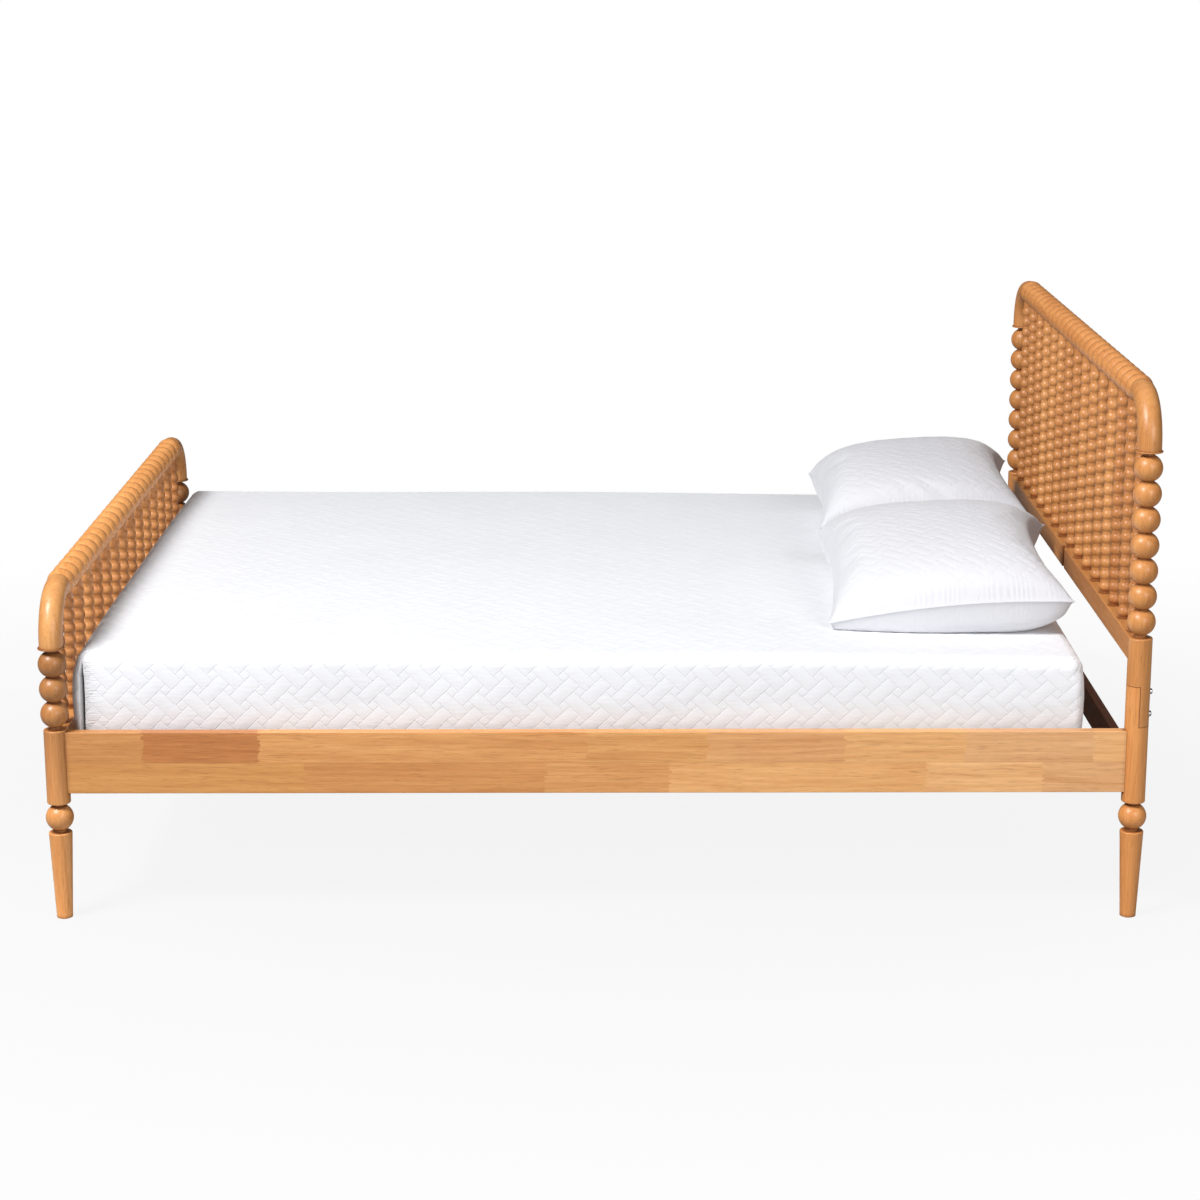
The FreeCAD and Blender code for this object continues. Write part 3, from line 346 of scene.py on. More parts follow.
def glued_boards(rail, turn_round):
    """Tone of a rail that is glued up from short boards in two strips, with painted light that makes the
    boards lighter towards one end.
    """
    low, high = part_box(rail)
    middle = (low.z + high.z)/2

    def tone(tree, place):
        x, z = coordinate(tree, place, "X"), coordinate(tree, place, "Z")
        fingers = noise(tree, scaled(tree, place, FINGER_SCALE), 1.0, 0.0)
        along = plus(tree, x, spread(tree, fingers, *FINGER_RANGE, -FINGER_HALF, FINGER_HALF))
        share = spread(tree, along, -RAIL_REACH, RAIL_REACH)
        upper = board_ramp(tree, share, UPPER_BOARDS, turn_round)
        lower = board_ramp(tree, share, LOWER_BOARDS, turn_round)
        boards = mixed(tree, maths(tree, "GREATER_THAN", z, middle), lower, upper)
        from_line = maths(tree, "ABSOLUTE", minus(tree, z, middle))
        glue = spread(tree, from_line, *GLUE_RANGE, GLUE_SHADE, 1.0)
        glue_tint = add(tree, "CombineColor", Red=glue, Green=glue, Blue=glue).outputs["Color"]
        tint = mixed(tree, 1.0, boards, glue_tint, "MULTIPLY")
        return tint, scaled(tree, tint, BOARD_SHIFT)

    return tone


def paint(node, material):
    """Give a node of the frame its material."""
    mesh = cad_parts[node].data
    mesh.materials.clear()
    mesh.materials.append(material)


# honey pieces: node, grain and tone
HONEY_PIECES = (
    ("headboard_post_left", "Z", (0.84, 0.76, 0.67, 1.0)),
    ("headboard_post_right", "Z", (0.86, 0.80, 0.72, 1.0)),
    ("head_leg_left", "Z", (0.94, 0.85, 0.75, 1.0)),
    ("head_leg_right", "Z", (0.96, 0.86, 0.76, 1.0)),
    ("headboard_elbow_left", "Z", (0.90, 0.82, 0.74, 1.0)),
    ("headboard_elbow_right", "Z", (0.81, 0.76, 0.70, 1.0)),
    ("footboard_elbow_left", "Z", (0.94, 0.90, 0.84, 1.0)),
    ("footboard_elbow_right", "Z", (0.93, 0.94, 0.94, 1.0)),
    ("headboard_top_rail", "Y", (0.86, 0.77, 0.69, 1.0)),
    ("footboard_top_rail", "Y", (1.00, 0.95, 0.88, 1.0)),
    ("headboard_bottom_rail", "Y", (0.86, 0.78, 0.70, 1.0)),
    ("footboard_bottom_rail", "Y", (0.92, 0.86, 0.78, 1.0)),
)
LAPPED = ("headboard_post_left", "headboard_post_right", "head_leg_left", "head_leg_right")
LAP_EDGE = 0.0016
FOOT_POSTS = ("foot_post_left", "foot_post_right")
# painted light at the foot of the foot posts and painted shade at their top
FOOT_POST_LIGHT_AND_SHADE = ((1.30, 1.27, 1.26, 1.0), (0.42, 0.36, 0.31, 1.0))
SPINDLE_ROWS = ("headboard_spindles", "footboard_spindles")
SPINDLE_COUNT = 15
SIDE_RAILS = (("side_rail_right", False), ("side_rail_left", True))
DARK_PIECES = {
    "X": ("centre_beam", "slat_ledger_left", "slat_ledger_right"),
    "Y": ("head_cross_rail", "foot_cross_rail"),
    "Z": ("centre_leg_head", "centre_leg_foot"),
}
SLAT_NAME = "slat_"

# where the grain of each kind of piece starts
HONEY_SEED, FOOT_POST_SEED, SPINDLE_SEED, RAIL_SEED, DARK_SEED, SLAT_SEED = 1, 16, 21, 31, 41, 50


def paint_honey_pieces():
    """Posts, legs, elbows and panel rails, each from one board."""
    for seed, (node, axis, colour) in enumerate(HONEY_PIECES, HONEY_SEED):
        edge_reach = LAP_EDGE if node in LAPPED else None
        paint(node, wood(f"honey_{node}", axis, HONEY, seed, tone=steady(colour), edge_reach=edge_reach))


def paint_foot_posts():
    """Foot posts, with painted light and shade that make them lighter at the foot and darker at the top."""
    for seed, node in enumerate(FOOT_POSTS, FOOT_POST_SEED):
        low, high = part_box(node)
        tone = graded("Z", low.z, high.z, FOOT_POST_LIGHT_AND_SHADE)
        paint(node, wood(f"honey_{node}", "Z", HONEY, seed, tone=tone))


def paint_spindles():
    """Both rows of spindles, with painted shade and some stain in the necks between their balls."""
    for seed, node in enumerate(SPINDLE_ROWS, SPINDLE_SEED):
        low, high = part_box(node)
        ball_dia = high.x - low.x
        pitch = (high.y - low.y - ball_dia)/(SPINDLE_COUNT - 1)
        tone = by_step("Y", low.y + ball_dia/2, pitch)
        # the wider reach paints shade, with some stain, into the necks and under the balls
        material = wood(f"honey_{node}", "Z", HONEY, seed, tone=tone, hollow_reach=0.014, hollow_full=0.56)
        paint(node, material)


def paint_side_rails():
    """Both side rails, with the boards turned round on the left one."""
    for seed, (node, turn_round) in enumerate(SIDE_RAILS, RAIL_SEED):
        tone = glued_boards(node, turn_round)
        paint(node, wood(f"honey_{node}", "X", HONEY, seed, roughness=0.36, tone=tone))


def paint_base():
    """Dark pieces of the base and the bare pine slats."""
    for seed, (axis, nodes) in enumerate(DARK_PIECES.items(), DARK_SEED):
        stained = wood(f"dark_wood_{axis.lower()}", axis, DARK, seed, roughness=0.55, gloss=0.15)
        for node in nodes:
            paint(node, stained)
    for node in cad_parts:
        number = node.removeprefix(SLAT_NAME)
        if number.isdigit():
            seed = SLAT_SEED + int(number)
            paint(node, wood(f"pine_{node}", "Y", PINE, seed, roughness=0.62, gloss=0.3))


# steel and plastic

STEEL_PIECES = (
    "beam_hanger_head", "beam_hanger_foot", "centre_leg_bolts", "rail_studs", "cross_nuts", "lap_bolts",
    "lap_washers", "lap_inserts", "slat_screws",
)
PLASTIC_PIECES = ("post_glides", "leveller_head", "leveller_foot")
SCRATCH_SCALE = (60.0, 60.0, 900.0)
ZINC_PALE, ZINC_DEEP = grey(0.66), grey(0.48)
NYLON_DEEP, NYLON_PALE = grey(0.022), grey(0.07)


def steel(name):
    """Zinc-plated steel with fine scratches."""
    material, tree, shader = new_material(name)
    place = add(tree, "TexCoord").outputs["Object"]
    scratches = noise(tree, scaled(tree, place, SCRATCH_SCALE), 1.0, detail=4.0, roughness=0.65)
    cloud = noise(tree, place, scale=70.0)
    dress(tree, shader, Base_Color=ramp(tree, cloud, ((0.3, ZINC_PALE), (0.7, ZINC_DEEP))), Metallic=1.0,
          Roughness=spread(tree, scratches, 0.3, 0.7, to_low=0.24, to_high=0.46),
          Normal=bump(tree, scratches, distance=0.00004, strength=0.5))
    return material


def plastic(name):
    """Black plastic with a fine moulded grain."""
    material, tree, shader = new_material(name)
    place = add(tree, "TexCoord").outputs["Object"]
    moulded = noise(tree, place, scale=1400.0, detail=2.0)
    scuffs = noise(tree, place, scale=45.0, detail=5.0, roughness=0.7)
    dress(tree, shader, Base_Color=ramp(tree, scuffs, ((0.4, NYLON_DEEP), (0.75, NYLON_PALE))),
          Roughness=spread(tree, scuffs, 0.35, 0.7, to_low=0.5, to_high=0.72),
          Normal=bump(tree, moulded, distance=0.00008, strength=0.6))
    return material


def paint_fittings():
    """Fasteners and hangers of steel, glides and levelling feet of plastic."""
    zinc = steel("zinc_plated_steel")
    for node in STEEL_PIECES:
        paint(node, zinc)
    nylon = plastic("black_nylon")
    for node in PLASTIC_PIECES:
        paint(node, nylon)


# quilted cloth

WEAVE_PITCH = 0.0438
WEAVE_STRIP = 0.027
STITCH_WIDTH = 0.0012
STITCH_DEPTH = 0.0006
STITCH_TINT = 0.12
STITCH_SHADE = (0.62, 0.63, 0.68, 1.0)
SLIT_SHADE = (0.10, 0.075, 0.06, 1.0)
THREAD_SCALE, THREAD_HEIGHT = 420.0, 0.00003
CRINKLE_SCALE, CRINKLE_HEIGHT = (45.0, 170.0, 1.0), 0.0007
GATHER_SCALE, GATHER_HEIGHT = (60.0, 330.0, 1.0), 0.006
QUILT_UV = "cloth_place"

WHITE = (0.775, 0.782, 0.81, 1.0)
WHITE_SHADE = (0.75, 0.757, 0.79, 1.0)
PILLOW_WHITE = (0.655, 0.657, 0.690, 1.0)
PILLOW_SHADE = (0.635, 0.637, 0.670, 1.0)
# lighter tint of the pillows' plain backs: painted light that offsets their shade
PILLOW_BACK_LIT = (0.71, 0.717, 0.745, 1.0)


def quilt_height(cloth, puff, run):
    """Height of the quilting over the stitch lines of a diagonal basket weave, for places on the cloth."""
    u, v = cloth.T
    p, q = (u + v)/math.sqrt(2), (u - v)/math.sqrt(2)
    i, j = np.round(p/WEAVE_PITCH), np.round(q/WEAVE_PITCH)
    from_p, from_q = np.abs(p - i*WEAVE_PITCH), np.abs(q - j*WEAVE_PITCH)
    p_is_over = (i + j) % 2 == 0
    half = WEAVE_STRIP/2
    p_line = np.where((from_q < half) & ~p_is_over, WEAVE_PITCH, np.abs(from_p - half))
    q_line = np.where((from_p < half) & p_is_over, WEAVE_PITCH, np.abs(from_q - half))
    return puff*(1 - np.exp(-np.minimum(p_line, q_line)/run))


def stitch_mask(tree, cloth):
    """The same stitch lines as a mask in a material."""
    u, v = coordinate(tree, cloth, "X"), coordinate(tree, cloth, "Y")
    per_metre = math.sqrt(0.5)/WEAVE_PITCH
    p, q = times(tree, plus(tree, u, v), per_metre), times(tree, minus(tree, u, v), per_metre)
    i, j = maths(tree, "ROUND", p), maths(tree, "ROUND", q)
    from_p = maths(tree, "ABSOLUTE", minus(tree, p, i))
    from_q = maths(tree, "ABSOLUTE", minus(tree, q, j))
    odd = maths(tree, "PINGPONG", plus(tree, i, j), 1.0)
    half = WEAVE_STRIP/WEAVE_PITCH/2
    p_hidden = times(tree, maths(tree, "LESS_THAN", from_q, half), odd)
    q_hidden = times(tree, maths(tree, "LESS_THAN", from_p, half), minus(tree, 1.0, odd))
    p_line = plus(tree, maths(tree, "ABSOLUTE", minus(tree, from_p, half)), p_hidden)
    q_line = plus(tree, maths(tree, "ABSOLUTE", minus(tree, from_q, half)), q_hidden)
    nearest = maths(tree, "MINIMUM", p_line, q_line)
    return spread(tree, nearest, 0.0, STITCH_WIDTH/WEAVE_PITCH, 1.0, 0.0)


def threads(tree, cloth, direction):
    """Threads of the weave in one direction."""
    wave = add(tree, "TexWave", {"bands_direction": direction}, Vector=cloth, Scale=THREAD_SCALE)
    return wave.outputs["Fac"]


def stored(tree, name):
    """The number that each vertex keeps under a name."""
    return add(tree, "Attribute", {"attribute_name": name}).outputs["Fac"]


def cotton(name, colour, shade, strength=1.0, quilted_by=None, plain=None):
    """White cotton with a fine weave, small crinkles, gathers and stitch lines.

    It has no stitch lines where it isn't quilted, and there a plain tint, which paints light onto the
    pillows' shaded backs.
    """
    material, tree, shader = new_material(name)
    cloth = add(tree, "UVMap", {"uv_map": QUILT_UV}).outputs["UV"]
    tint = ramp(tree, noise(tree, cloth, scale=5.0), ((0.3, colour), (0.75, shade)))
    lines = times(tree, stitch_mask(tree, cloth), strength)
    if quilted_by:
        where = stored(tree, quilted_by)
        lines = times(tree, lines, where)
        # painted light: the lighter plain tint where the cloth isn't quilted
        tint = mixed(tree, where, plain, tint)
    tint = mixed(tree, times(tree, lines, STITCH_TINT), tint, STITCH_SHADE)
    tint = mixed(tree, stored(tree, "slit"), tint, SLIT_SHADE)
    weave = plus(tree, threads(tree, cloth, "X"), threads(tree, cloth, "Y"))
    crinkle = noise(tree, scaled(tree, cloth, CRINKLE_SCALE), 1.0, detail=4.0, roughness=0.55)
    folds = noise(tree, scaled(tree, cloth, GATHER_SCALE), 1.0, detail=2.0)
    gathers = times(tree, folds, stored(tree, "gathered"))
    relief = plus(tree, times(tree, crinkle, CRINKLE_HEIGHT), times(tree, weave, THREAD_HEIGHT))
    relief = minus(tree, relief, times(tree, lines, STITCH_DEPTH))
    relief = plus(tree, relief, times(tree, gathers, GATHER_HEIGHT))
    dress(tree, shader, Base_Color=tint, Roughness=0.92, Specular_IOR_Level=0.25, Sheen_Weight=0.25,
          Sheen_Roughness=0.5, Normal=bump(tree, relief, distance=1.0, strength=0.8))
    return material


# small helpers for meshes

def new_object(name, vertices, faces, uv=None, smooth=True):
    """Mesh object from arrays, with places on the cloth as its texture coordinates."""
    mesh = bpy.data.meshes.new(name)
    mesh.from_pydata(vertices.tolist(), [], faces)
    if uv is not None:
        layer = mesh.uv_layers.new(name=QUILT_UV)
        layer.data.foreach_set("uv", uv[loop_vertices(mesh)].astype(np.float32).ravel())
    mesh.polygons.foreach_set("use_smooth", np.full(len(mesh.polygons), smooth))
    obj = bpy.data.objects.new(name, mesh)
    scene.collection.objects.link(obj)
    return obj


def loop_vertices(mesh):
    """Vertex number at each corner of each face."""
    corners = np.empty(len(mesh.loops), dtype=np.int32)
    mesh.loops.foreach_get("vertex_index", corners)
    return corners


def store(mesh, name, values):
    """Keep one number for each vertex."""
    layer = mesh.attributes.new(name, "FLOAT", "POINT")
    layer.data.foreach_set("value", values.astype(np.float32))


def read_stored(mesh, name):
    """The number kept for each vertex."""
    values = np.empty(len(mesh.vertices), dtype=np.float32)
    mesh.attributes[name].data.foreach_get("value", values)
    return values


def read_places(mesh):
    """Vertex places as an array."""
    places = np.empty(len(mesh.vertices)*3)
    mesh.vertices.foreach_get("co", places)
    return places.reshape(-1, 3)


def read_normals(mesh):
    """Vertex normals as an array."""
    normals = np.empty(len(mesh.vertices)*3, dtype=np.float32)
    mesh.vertex_normals.foreach_get("vector", normals)
    return normals.reshape(-1, 3)


def read_cloth(mesh):
    """Place on the cloth for each vertex."""
    uv = np.empty(len(mesh.loops)*2, dtype=np.float32)
    mesh.uv_layers[QUILT_UV].data.foreach_get("uv", uv)
    places = np.zeros((len(mesh.vertices), 2))
    places[loop_vertices(mesh)] = uv.reshape(-1, 2)
    return places


def write_places(mesh, places):
    """Move the vertices."""
    mesh.vertices.foreach_set("co", places.astype(np.float32).ravel())
    mesh.update()


def keep_result(obj):
    """Make the result of the modifiers the mesh itself."""
    depsgraph = bpy.context.evaluated_depsgraph_get()
    mesh = bpy.data.meshes.new_from_object(obj.evaluated_get(depsgraph), depsgraph=depsgraph)
    obj.modifiers.clear()
    obj.data = mesh


def grid_faces(number):
    """Faces between the neighbours in a grid of vertex numbers."""
    corners = (number[:-1, :-1], number[1:, :-1], number[1:, 1:], number[:-1, 1:])
    return np.stack(corners, -1).reshape(-1, 4)


def ring_faces(ring, next_ring):
    """Faces between two closed rings of vertex numbers."""
    corners = (ring, next_ring, np.roll(next_ring, -1), np.roll(ring, -1))
    return np.stack(corners, -1)


def smooth_step(value):
    """Soft step from 0 to 1."""
    value = np.clip(value, 0, 1)
    return value*value*(3 - 2*value)


def waves(x, y, rows):
    """Slow waves over a surface: height, turning along X and Y, and phase of each."""
    return sum(height*np.sin(turn_x*x + turn_y*y + phase) for height, turn_x, turn_y, phase in rows)


# mattress

MATTRESS_LOW, MATTRESS_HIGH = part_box("mattress")
MATTRESS_MIDDLE = (MATTRESS_LOW + MATTRESS_HIGH)/2
MATTRESS_HALF = np.array((MATTRESS_HIGH - MATTRESS_LOW)/2)
CORNER_ROUND = 0.014
TOP_ROUND = 0.024
BASE_ROUND = 0.02
SIDE_BULGE = 0.006
CROWN = 0.006
FOOT_RISE = 0.007
HEAD_DROP = 0.008
MESH_STEP = 0.005
CORNER_STEPS = 56
TOP_TURN_STEPS = 8
BASE_TURN_STEPS = 5
PILLOW_DENT = 0.004
DENT_LENGTH, DENT_WIDTH = 0.20, 0.26
PILLOW_SPOTS = ((0.72, -0.31), (0.75, 0.35))
TOP_WAVES = ((0.0012, 5.1, 1.7, 0.6), (0.0010, -2.9, 8.3, 1.9))
SIDE_WAVES = ((0.0016, 7.3, 0.0, 2.0), (0.0012, 17.0, 9.0, 0.0))
QUILT_PUFF, QUILT_RUN = 0.0009, 0.0042
QUILT_SINK = 0.0007
QUILT_END, QUILT_FADE = 0.004, 0.01
TOUCH = 1e-6
NO_LENGTH = 1e-9


def turn(start, end, steps):
    """Tangents of even angles in an eighth of a circle, without the first one."""
    return np.tan(np.linspace(start, end, steps + 1)[1:]*math.pi/4)


def lattice(half, corner, step, corner_steps):
    """Places along one side of a box: even in the middle and by even angles in its round ends."""
    flat = half - corner
    middle = np.linspace(-flat, flat, int(round(2*flat/step)) + 1)
    end = flat + corner*turn(0, 1, corner_steps//2)
    return np.concatenate((-end[::-1], middle, end))


def side_levels():
    """Heights of the rings down the mattress side, from the top edge to the base."""
    half = MATTRESS_HALF[2]
    high, low = half - TOP_ROUND, BASE_ROUND - half
    wall = np.linspace(high, low, int(round((high - low)/MESH_STEP)) + 1)[1:]
    top_turn = high + TOP_ROUND*turn(1, 0, TOP_TURN_STEPS)
    base_turn = low - BASE_ROUND*turn(0, 1, BASE_TURN_STEPS)
    return np.concatenate((top_turn, wall, base_turn))


def mattress_grid():
    """Vertices of the box surface, with its faces, from the top grid down the sides to the base."""
    a, b, c = MATTRESS_HALF
    xs = lattice(a, TOP_ROUND, MESH_STEP, CORNER_STEPS)
    ys = lattice(b, TOP_ROUND, MESH_STEP, CORNER_STEPS)
    grid_x, grid_y = np.meshgrid(xs, ys, indexing="ij")
    top = np.stack((grid_x, grid_y, np.full_like(grid_x, c)), -1).reshape(-1, 3)
    number = np.arange(len(top)).reshape(grid_x.shape)
    faces = grid_faces(number).tolist()
    ring = np.concatenate((number[:-1, 0], number[-1, :-1], number[:0:-1, -1], number[0, :0:-1]))
    rim = top[ring, :2]
    inset = rim*(1 - TOP_ROUND/np.array((a, b)))
    points = [top]
    start = len(top)
    for outline, level in [(rim, level) for level in side_levels()] + [(inset, -c)]:
        points.append(np.column_stack((outline, np.full(len(rim), level))))
        next_ring = np.arange(start, start + len(rim))
        faces += ring_faces(ring, next_ring).tolist()
        start += len(rim)
        ring = next_ring
    faces.append(ring[::-1].tolist())
    return np.concatenate(points), faces


def rounded_box(box):
    """Points of the box moved onto its rounded form, and the direction out of it at each."""
    a, b, c = MATTRESS_HALF
    is_top = smooth_step((box[:, 2] - c + 2*TOP_ROUND)/TOP_ROUND)
    flat_round = CORNER_ROUND + (TOP_ROUND - CORNER_ROUND)*is_top
    rounds = np.column_stack((flat_round, flat_round, np.where(box[:, 2] < 0, BASE_ROUND, TOP_ROUND)))
    half = np.array((a, b - SIDE_BULGE, c))
    start = box*np.array((1.0, (b - SIDE_BULGE)/b, 1.0))
    inner = np.clip(start, rounds - half, half - rounds)
    outward = (start - inner)/rounds
    length = np.linalg.norm(outward, axis=1, keepdims=True)
    outward = np.where(length > NO_LENGTH, outward/np.maximum(length, NO_LENGTH), (0.0, 0.0, -1.0))
    return inner + outward*rounds, outward


def top_shape(x, y):
    """How far the mattress top stands over or under its mean height."""
    along = (x - MATTRESS_LOW.x)/(MATTRESS_HIGH.x - MATTRESS_LOW.x)
    lift = FOOT_RISE - (FOOT_RISE + HEAD_DROP)*along
    lift = lift - CROWN*(y/MATTRESS_HALF[1])**2 + waves(x, y, TOP_WAVES)
    for spot_x, spot_y in PILLOW_SPOTS:
        reach = ((x - spot_x)/DENT_LENGTH)**2 + ((y - spot_y)/DENT_WIDTH)**2
        lift = lift - PILLOW_DENT*np.exp(-reach)
    return lift


def cloth_places(box):
    """Places on the cloth for points of the box: the top laid flat, with the sides folded out from it."""
    a, b, c = MATTRESS_HALF
    down = c - box[:, 2]
    u, v = box[:, 0].copy(), box[:, 1].copy()
    on_side = np.abs(box[:, 1]) > b - TOUCH
    on_end = (np.abs(box[:, 0]) > a - TOUCH) & ~on_side
    v[on_side] += np.sign(v[on_side])*down[on_side]
    u[on_end] += np.sign(u[on_end])*down[on_end]
    return np.column_stack((u, v))


SLIT_PLACE = 0.0125
SLIT_HALF = 0.0022
SLIT_EDGE = 1.5
SLIT_DEPTH = 0.018
SLIT_TOP, SLIT_FADE = 0.018, 0.03
SLIT_WAVE, SLIT_TURN, SLIT_PHASE = 0.0010, 41, 1.0
LIP_OUT = 0.0035
LIP_EDGE = 0.4
GATHER_RUN = 0.016
GATHER_TOP, GATHER_FADE = 0.004, 0.02


def corner_seams(box):
    """The open seams at the foot corners of the cover: how open, how far in or out, and how gathered."""
    a, b, c = MATTRESS_HALF
    across, down = np.abs(box[:, 1]), c - box[:, 2]
    from_end = np.where(across > b - TOP_ROUND, box[:, 0] + a, 2*a)
    below_top = smooth_step((down - SLIT_TOP)/SLIT_FADE)
    beyond = from_end - SLIT_PLACE - SLIT_WAVE*np.sin(SLIT_TURN*box[:, 2] + SLIT_PHASE)
    is_open = smooth_step(SLIT_EDGE - np.abs(beyond)/SLIT_HALF)*below_top*(across > b - TOUCH)
    lip = smooth_step(-beyond/SLIT_HALF - LIP_EDGE)*below_top
    gathered = np.where(beyond > 0, np.exp(-beyond/GATHER_RUN), 0.0)
    gathered = gathered*smooth_step((down - GATHER_TOP)/GATHER_FADE)
    return is_open, LIP_OUT*lip - SLIT_DEPTH*is_open, gathered


def mattress_cover():
    """Mattress in its quilted cover."""
    box, faces = mattress_grid()
    half = MATTRESS_HALF[2]
    points, outward = rounded_box(box)
    sideways = outward*(1.0, 1.0, 0.0)
    height_share = np.clip(points[:, 2]/half, -1, 1)
    points += sideways*(SIDE_BULGE*(1 - height_share**2))[:, None]
    wave = waves(points[:, 0], points[:, 1], SIDE_WAVES)
    points += sideways*(wave*(1 - np.abs(height_share)))[:, None]
    cloth = cloth_places(box)
    slit, corner, gathered = corner_seams(box)
    is_quilted = smooth_step((box[:, 2] + half - QUILT_END)/QUILT_FADE)
    quilting = (quilt_height(cloth, QUILT_PUFF, QUILT_RUN) - QUILT_SINK)*is_quilted
    points += outward*(quilting + corner)[:, None]
    place = points + np.array(MATTRESS_MIDDLE)
    rise_share = smooth_step((points[:, 2] + half)/(2*half))
    place[:, 2] += top_shape(place[:, 0], place[:, 1])*rise_share
    cover = new_object("mattress_cover", place, faces, cloth)
    store(cover.data, "slit", slit)
    store(cover.data, "gathered", gathered)
    cover.data.materials.append(cotton("quilted_cotton", WHITE, WHITE_SHADE))
    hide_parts("mattress")
    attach(cover, "mattress")


# pillows

# the ears where a pillow's seams meet: foot near, head near, head far and foot far
RIGHT_EARS = (
    (0.463, -0.590, 0.540),
    (0.957, -0.621, 0.595),
    (0.996, -0.008, 0.614),
    (0.478, 0.014, 0.594),
)
LEFT_EARS = (
    (0.490, 0.050, 0.590),
    (0.985, 0.052, 0.604),
    (1.008, 0.672, 0.620),
    (0.505, 0.608, 0.602),
)

# shares by which the foot, head, near and far seams are drawn in
RIGHT_DRAWS = (0.06, 0.18, -0.05, 0.03)
LEFT_DRAWS = (0.06, 0.16, 0.02, 0.02)
RIGHT_HEIGHT, LEFT_HEIGHT = 0.080, 0.083

PILLOW_STEPS = (56, 70)
PILLOW_CLOTH = np.array((0.54, 0.68))
PILLOW_FOOT = 0.11
PILLOW_REST = 0.002
PILLOW_PRESSURE = 4.0
PILLOW_FRAMES = 18
PILLOW_GIVE = 0.008
PILLOW_FINENESS = 2
LENGTH_POWER, WIDTH_POWER = 3, 2.3
TOP_FULLNESS, BASE_FULLNESS = 0.42, 0.30
DRAW_POWER = 2.2
SEAM_LIFT = 0.020
HEM = 0.985
HEM_HALF = 0.0008
PILLOW_PUFF, PILLOW_RUN = 0.0012, 0.0040
PILLOW_QUILT_START, PILLOW_QUILT_FADE = 0.01, 0.06
PILLOW_STITCHES = 0.35
BACK_GATHERS = 0.35
PUCKER_DEPTH = 0.0009
PUCKER_RUN = 0.022
PUCKER_PITCH = 0.0125
PUCKER_START, PUCKER_END = 0.010, 0.06
PUCKER_WANDER = ((1.4, 83.0), (0.9, 37.0))
PUCKER_BEATS = ((61.0, 2.0), (23.0, 0.7))
PUCKER_MEAN, PUCKER_SWING = 0.55, 0.45


def pillow_steps(count):
    """Places from seam to seam, with one step for the hem at each end."""
    return np.concatenate(([-1.0], np.linspace(-HEM, HEM, count - 1), [1.0]))


def swell(s, t, fullness):
    """Share of a pillow's full height at a place between its seams."""
    from_s = 1 - np.clip(np.abs(s)/HEM, 0, 1)**LENGTH_POWER
    from_t = 1 - np.clip(np.abs(t)/HEM, 0, 1)**WIDTH_POWER
    return (from_s*from_t)**fullness


def seam_plane(s, t, ears, draws):
    """Where a pillow's two sheets meet between its ears, with its sides drawn in and lifted."""
    foot_draw, head_draw, near_draw, far_draw = draws
    drawn_s = s*(1 - np.where(s < 0, foot_draw, head_draw)*(1 - np.abs(t)**DRAW_POWER))
    drawn_t = t*(1 - np.where(t < 0, near_draw, far_draw)*(1 - np.abs(s)**DRAW_POWER))
    along, across = (drawn_s[..., None] + 1)/2, (drawn_t[..., None] + 1)/2
    foot_near, head_near, head_far, foot_far = (np.array(ear) for ear in ears)
    near = foot_near + (head_near - foot_near)*along
    far = foot_far + (head_far - foot_far)*along
    plane = near + (far - near)*across
    plane[..., 2] += SEAM_LIFT*(1 - (s*t)**2)
    return plane


def pillow_blank(name, ears, draws, height):
    """Two domed sheets of cloth joined at their hem, with places on the cloth."""
    nx, ny = PILLOW_STEPS
    s, t = np.meshgrid(pillow_steps(nx), pillow_steps(ny), indexing="ij")
    top = seam_plane(s, t, ears, draws)
    base = top.copy()
    top[..., 2] += height*swell(s, t, TOP_FULLNESS) + HEM_HALF
    base[..., 2] -= PILLOW_FOOT*swell(s, t, BASE_FULLNESS) + HEM_HALF
    top_number = np.arange(s.size).reshape(s.shape)
    base_number = top_number.copy()
    inside = base_number[1:-1, 1:-1]
    inside[:] = s.size + np.arange(inside.size).reshape(inside.shape)
    vertices = np.concatenate((top.reshape(-1, 3), base[1:-1, 1:-1].reshape(-1, 3)))
    cloth = np.stack((s, t), -1)*PILLOW_CLOTH/2
    uv = np.concatenate((cloth.reshape(-1, 2), cloth[1:-1, 1:-1].reshape(-1, 2)))
    faces = grid_faces(top_number).tolist() + grid_faces(base_number)[:, ::-1].tolist()
    obj = new_object(name, vertices, faces, uv)
    store(obj.data, "quilted", np.arange(len(vertices)) < s.size)
    return obj


def inflate(obj):
    """Let the sheets swell under pressure as cloth, by a small give at most."""
    before = read_places(obj.data)
    cloth = obj.modifiers.new("swell", "CLOTH")
    settings = cloth.settings
    settings.quality = 6
    settings.mass = 0.25
    settings.tension_stiffness = 24
    settings.compression_stiffness = 24
    settings.shear_stiffness = 8
    settings.bending_stiffness = 0.4
    settings.use_pressure = True
    settings.uniform_pressure_force = PILLOW_PRESSURE
    settings.effector_weights.gravity = 0
    cloth.collision_settings.use_collision = False
    cloth.point_cache.frame_start = 1
    cloth.point_cache.frame_end = PILLOW_FRAMES
    for number in range(1, PILLOW_FRAMES + 1):
        scene.frame_set(number)
    keep_result(obj)
    scene.frame_set(1)
    change = read_places(obj.data) - before
    length = np.linalg.norm(change, axis=1, keepdims=True)
    write_places(obj.data, before + change*np.minimum(1, PILLOW_GIVE/np.maximum(length, PILLOW_GIVE)))


def subdivide(obj):
    """Smooth subdivision, kept as mesh."""
    modifier = obj.modifiers.new("fine", "SUBSURF")
    modifier.levels = PILLOW_FINENESS
    modifier.boundary_smooth = "PRESERVE_CORNERS"
    keep_result(obj)


